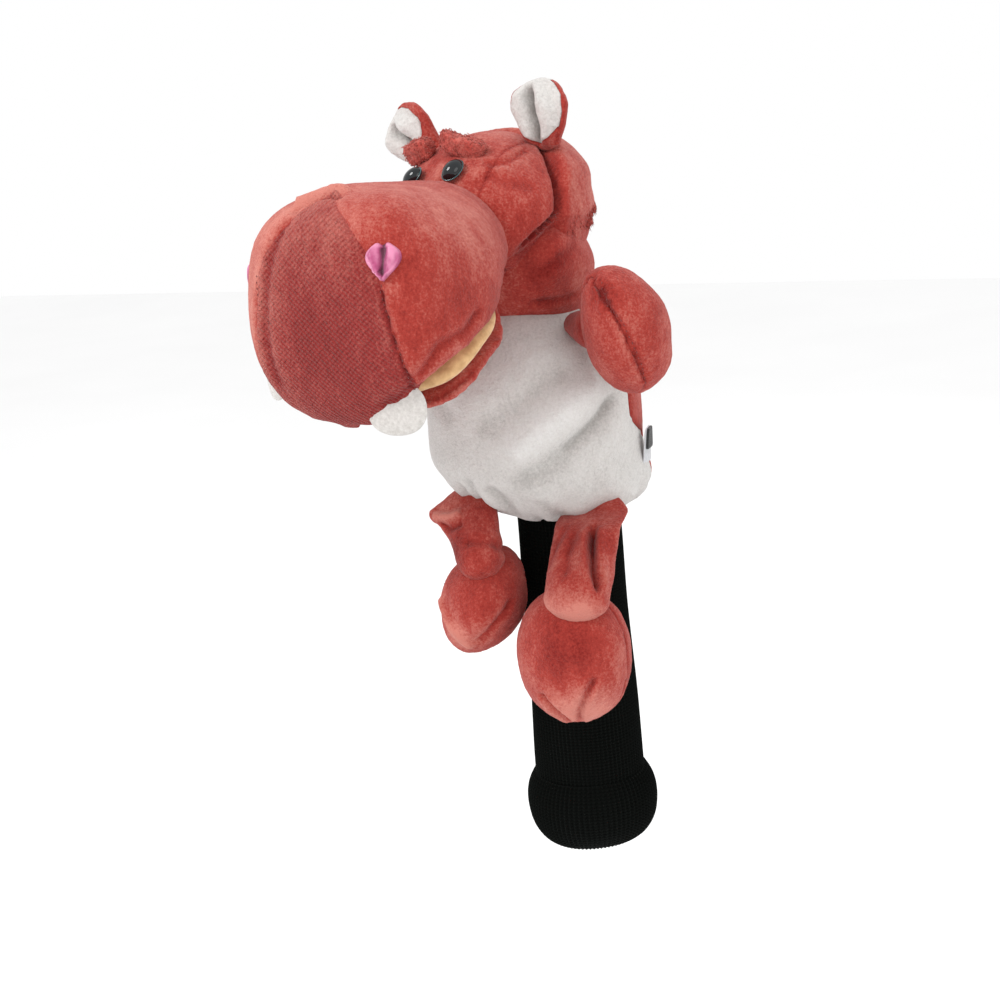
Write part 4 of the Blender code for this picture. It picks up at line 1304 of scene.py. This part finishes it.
def repaint_inner_nodes():
    """The pieces inside the cover keep their CAD shape and get their own material."""
    looks = {"pocket_liner": "pocket_fleece", "cuff_elastic": "elastic",
             "eye_washer_left": "washer_nylon", "eye_washer_right": "washer_nylon"}
    for node, look in looks.items():
        slots = frame["nodes"][node].data.materials
        for k in range(len(slots)):
            slots[k] = LOOKS[look]


# --- stage ---
def make_stage():
    mesh = bpy.data.meshes.new("floor")
    mesh.from_pydata([(x * FLOOR_HALF, y * FLOOR_HALF, FLOOR_Z)
                      for x, y in ((-1, -1), (1, -1), (1, 1), (-1, 1))], [], [(0, 1, 2, 3)])
    floor = bpy.data.objects.new("floor", mesh)
    SCENE.collection.objects.link(floor)
    look = Look("floor_pale", 0.9)
    look.colour(look.ramp(look.noise(3, 2), (0.3, (0.93, 0.93, 0.93)), (0.7, (0.95, 0.95, 0.95))))
    mesh.materials.append(look.mat)

    world = bpy.data.worlds.new("studio")
    SCENE.world = world
    world.use_nodes = True
    backdrop = world.node_tree.nodes["Background"].inputs
    backdrop["Color"].default_value = (1, 1, 1, 1)
    backdrop["Strength"].default_value = 1.0

    def area(name, place, aim, size, power):
        data = bpy.data.lights.new(name, "AREA")
        data.shape = "DISK"
        data.size = size
        data.energy = power
        lamp = bpy.data.objects.new(name, data)
        lamp.location = place
        lamp.rotation_euler = (Vector(aim) - Vector(place)).to_track_quat("-Z", "Y").to_euler()
        SCENE.collection.objects.link(lamp)

    area("key", (-0.55, -1.0, 1.45), (0, -0.05, 0.3), 0.6, 12)
    area("fill", (1.3, -0.7, 0.7), (0, 0, 0.25), 0.9, 3)
    area("back", (0.1, 1.2, 1.1), (0, 0, 0.35), 0.8, 5)
    SCENE.view_settings.view_transform = "Standard"

    data = bpy.data.cameras.new("camera")
    data.lens = 70
    data.sensor_width = 36
    camera = bpy.data.objects.new("camera", data)
    # 27 degrees round from the belly, 15 degrees up, and tilted 5.5 degrees to the side
    turn = (rotation("Z", 27) @ rotation("X", 90 - 15) @ rotation("Z", -5.5)).tolist()
    camera.matrix_world = Matrix.Translation((0.4915, -1.0561, 0.5392)) @ Matrix(turn).to_4x4()
    SCENE.collection.objects.link(camera)
    SCENE.camera = camera


make_looks()
make_stage()
skins = swell_forms()
muzzle_tree = make_muzzle(skins["muzzle"])
make_skull(skins["skull"])
make_brows()
make_eyes()
make_nostrils(muzzle_tree)
make_teeth()
make_mouth(skins["jaw_panel_soft"])
make_ears()
make_neck(skins["neck_panel_soft"])
make_body(skins["body"])
for side_word in ("left", "right"):
    make_arm(side_word, skins["paw_" + side_word])
    make_leg(side_word, skins["foot_" + side_word])
make_knit()
make_labels()
repaint_inner_nodes()
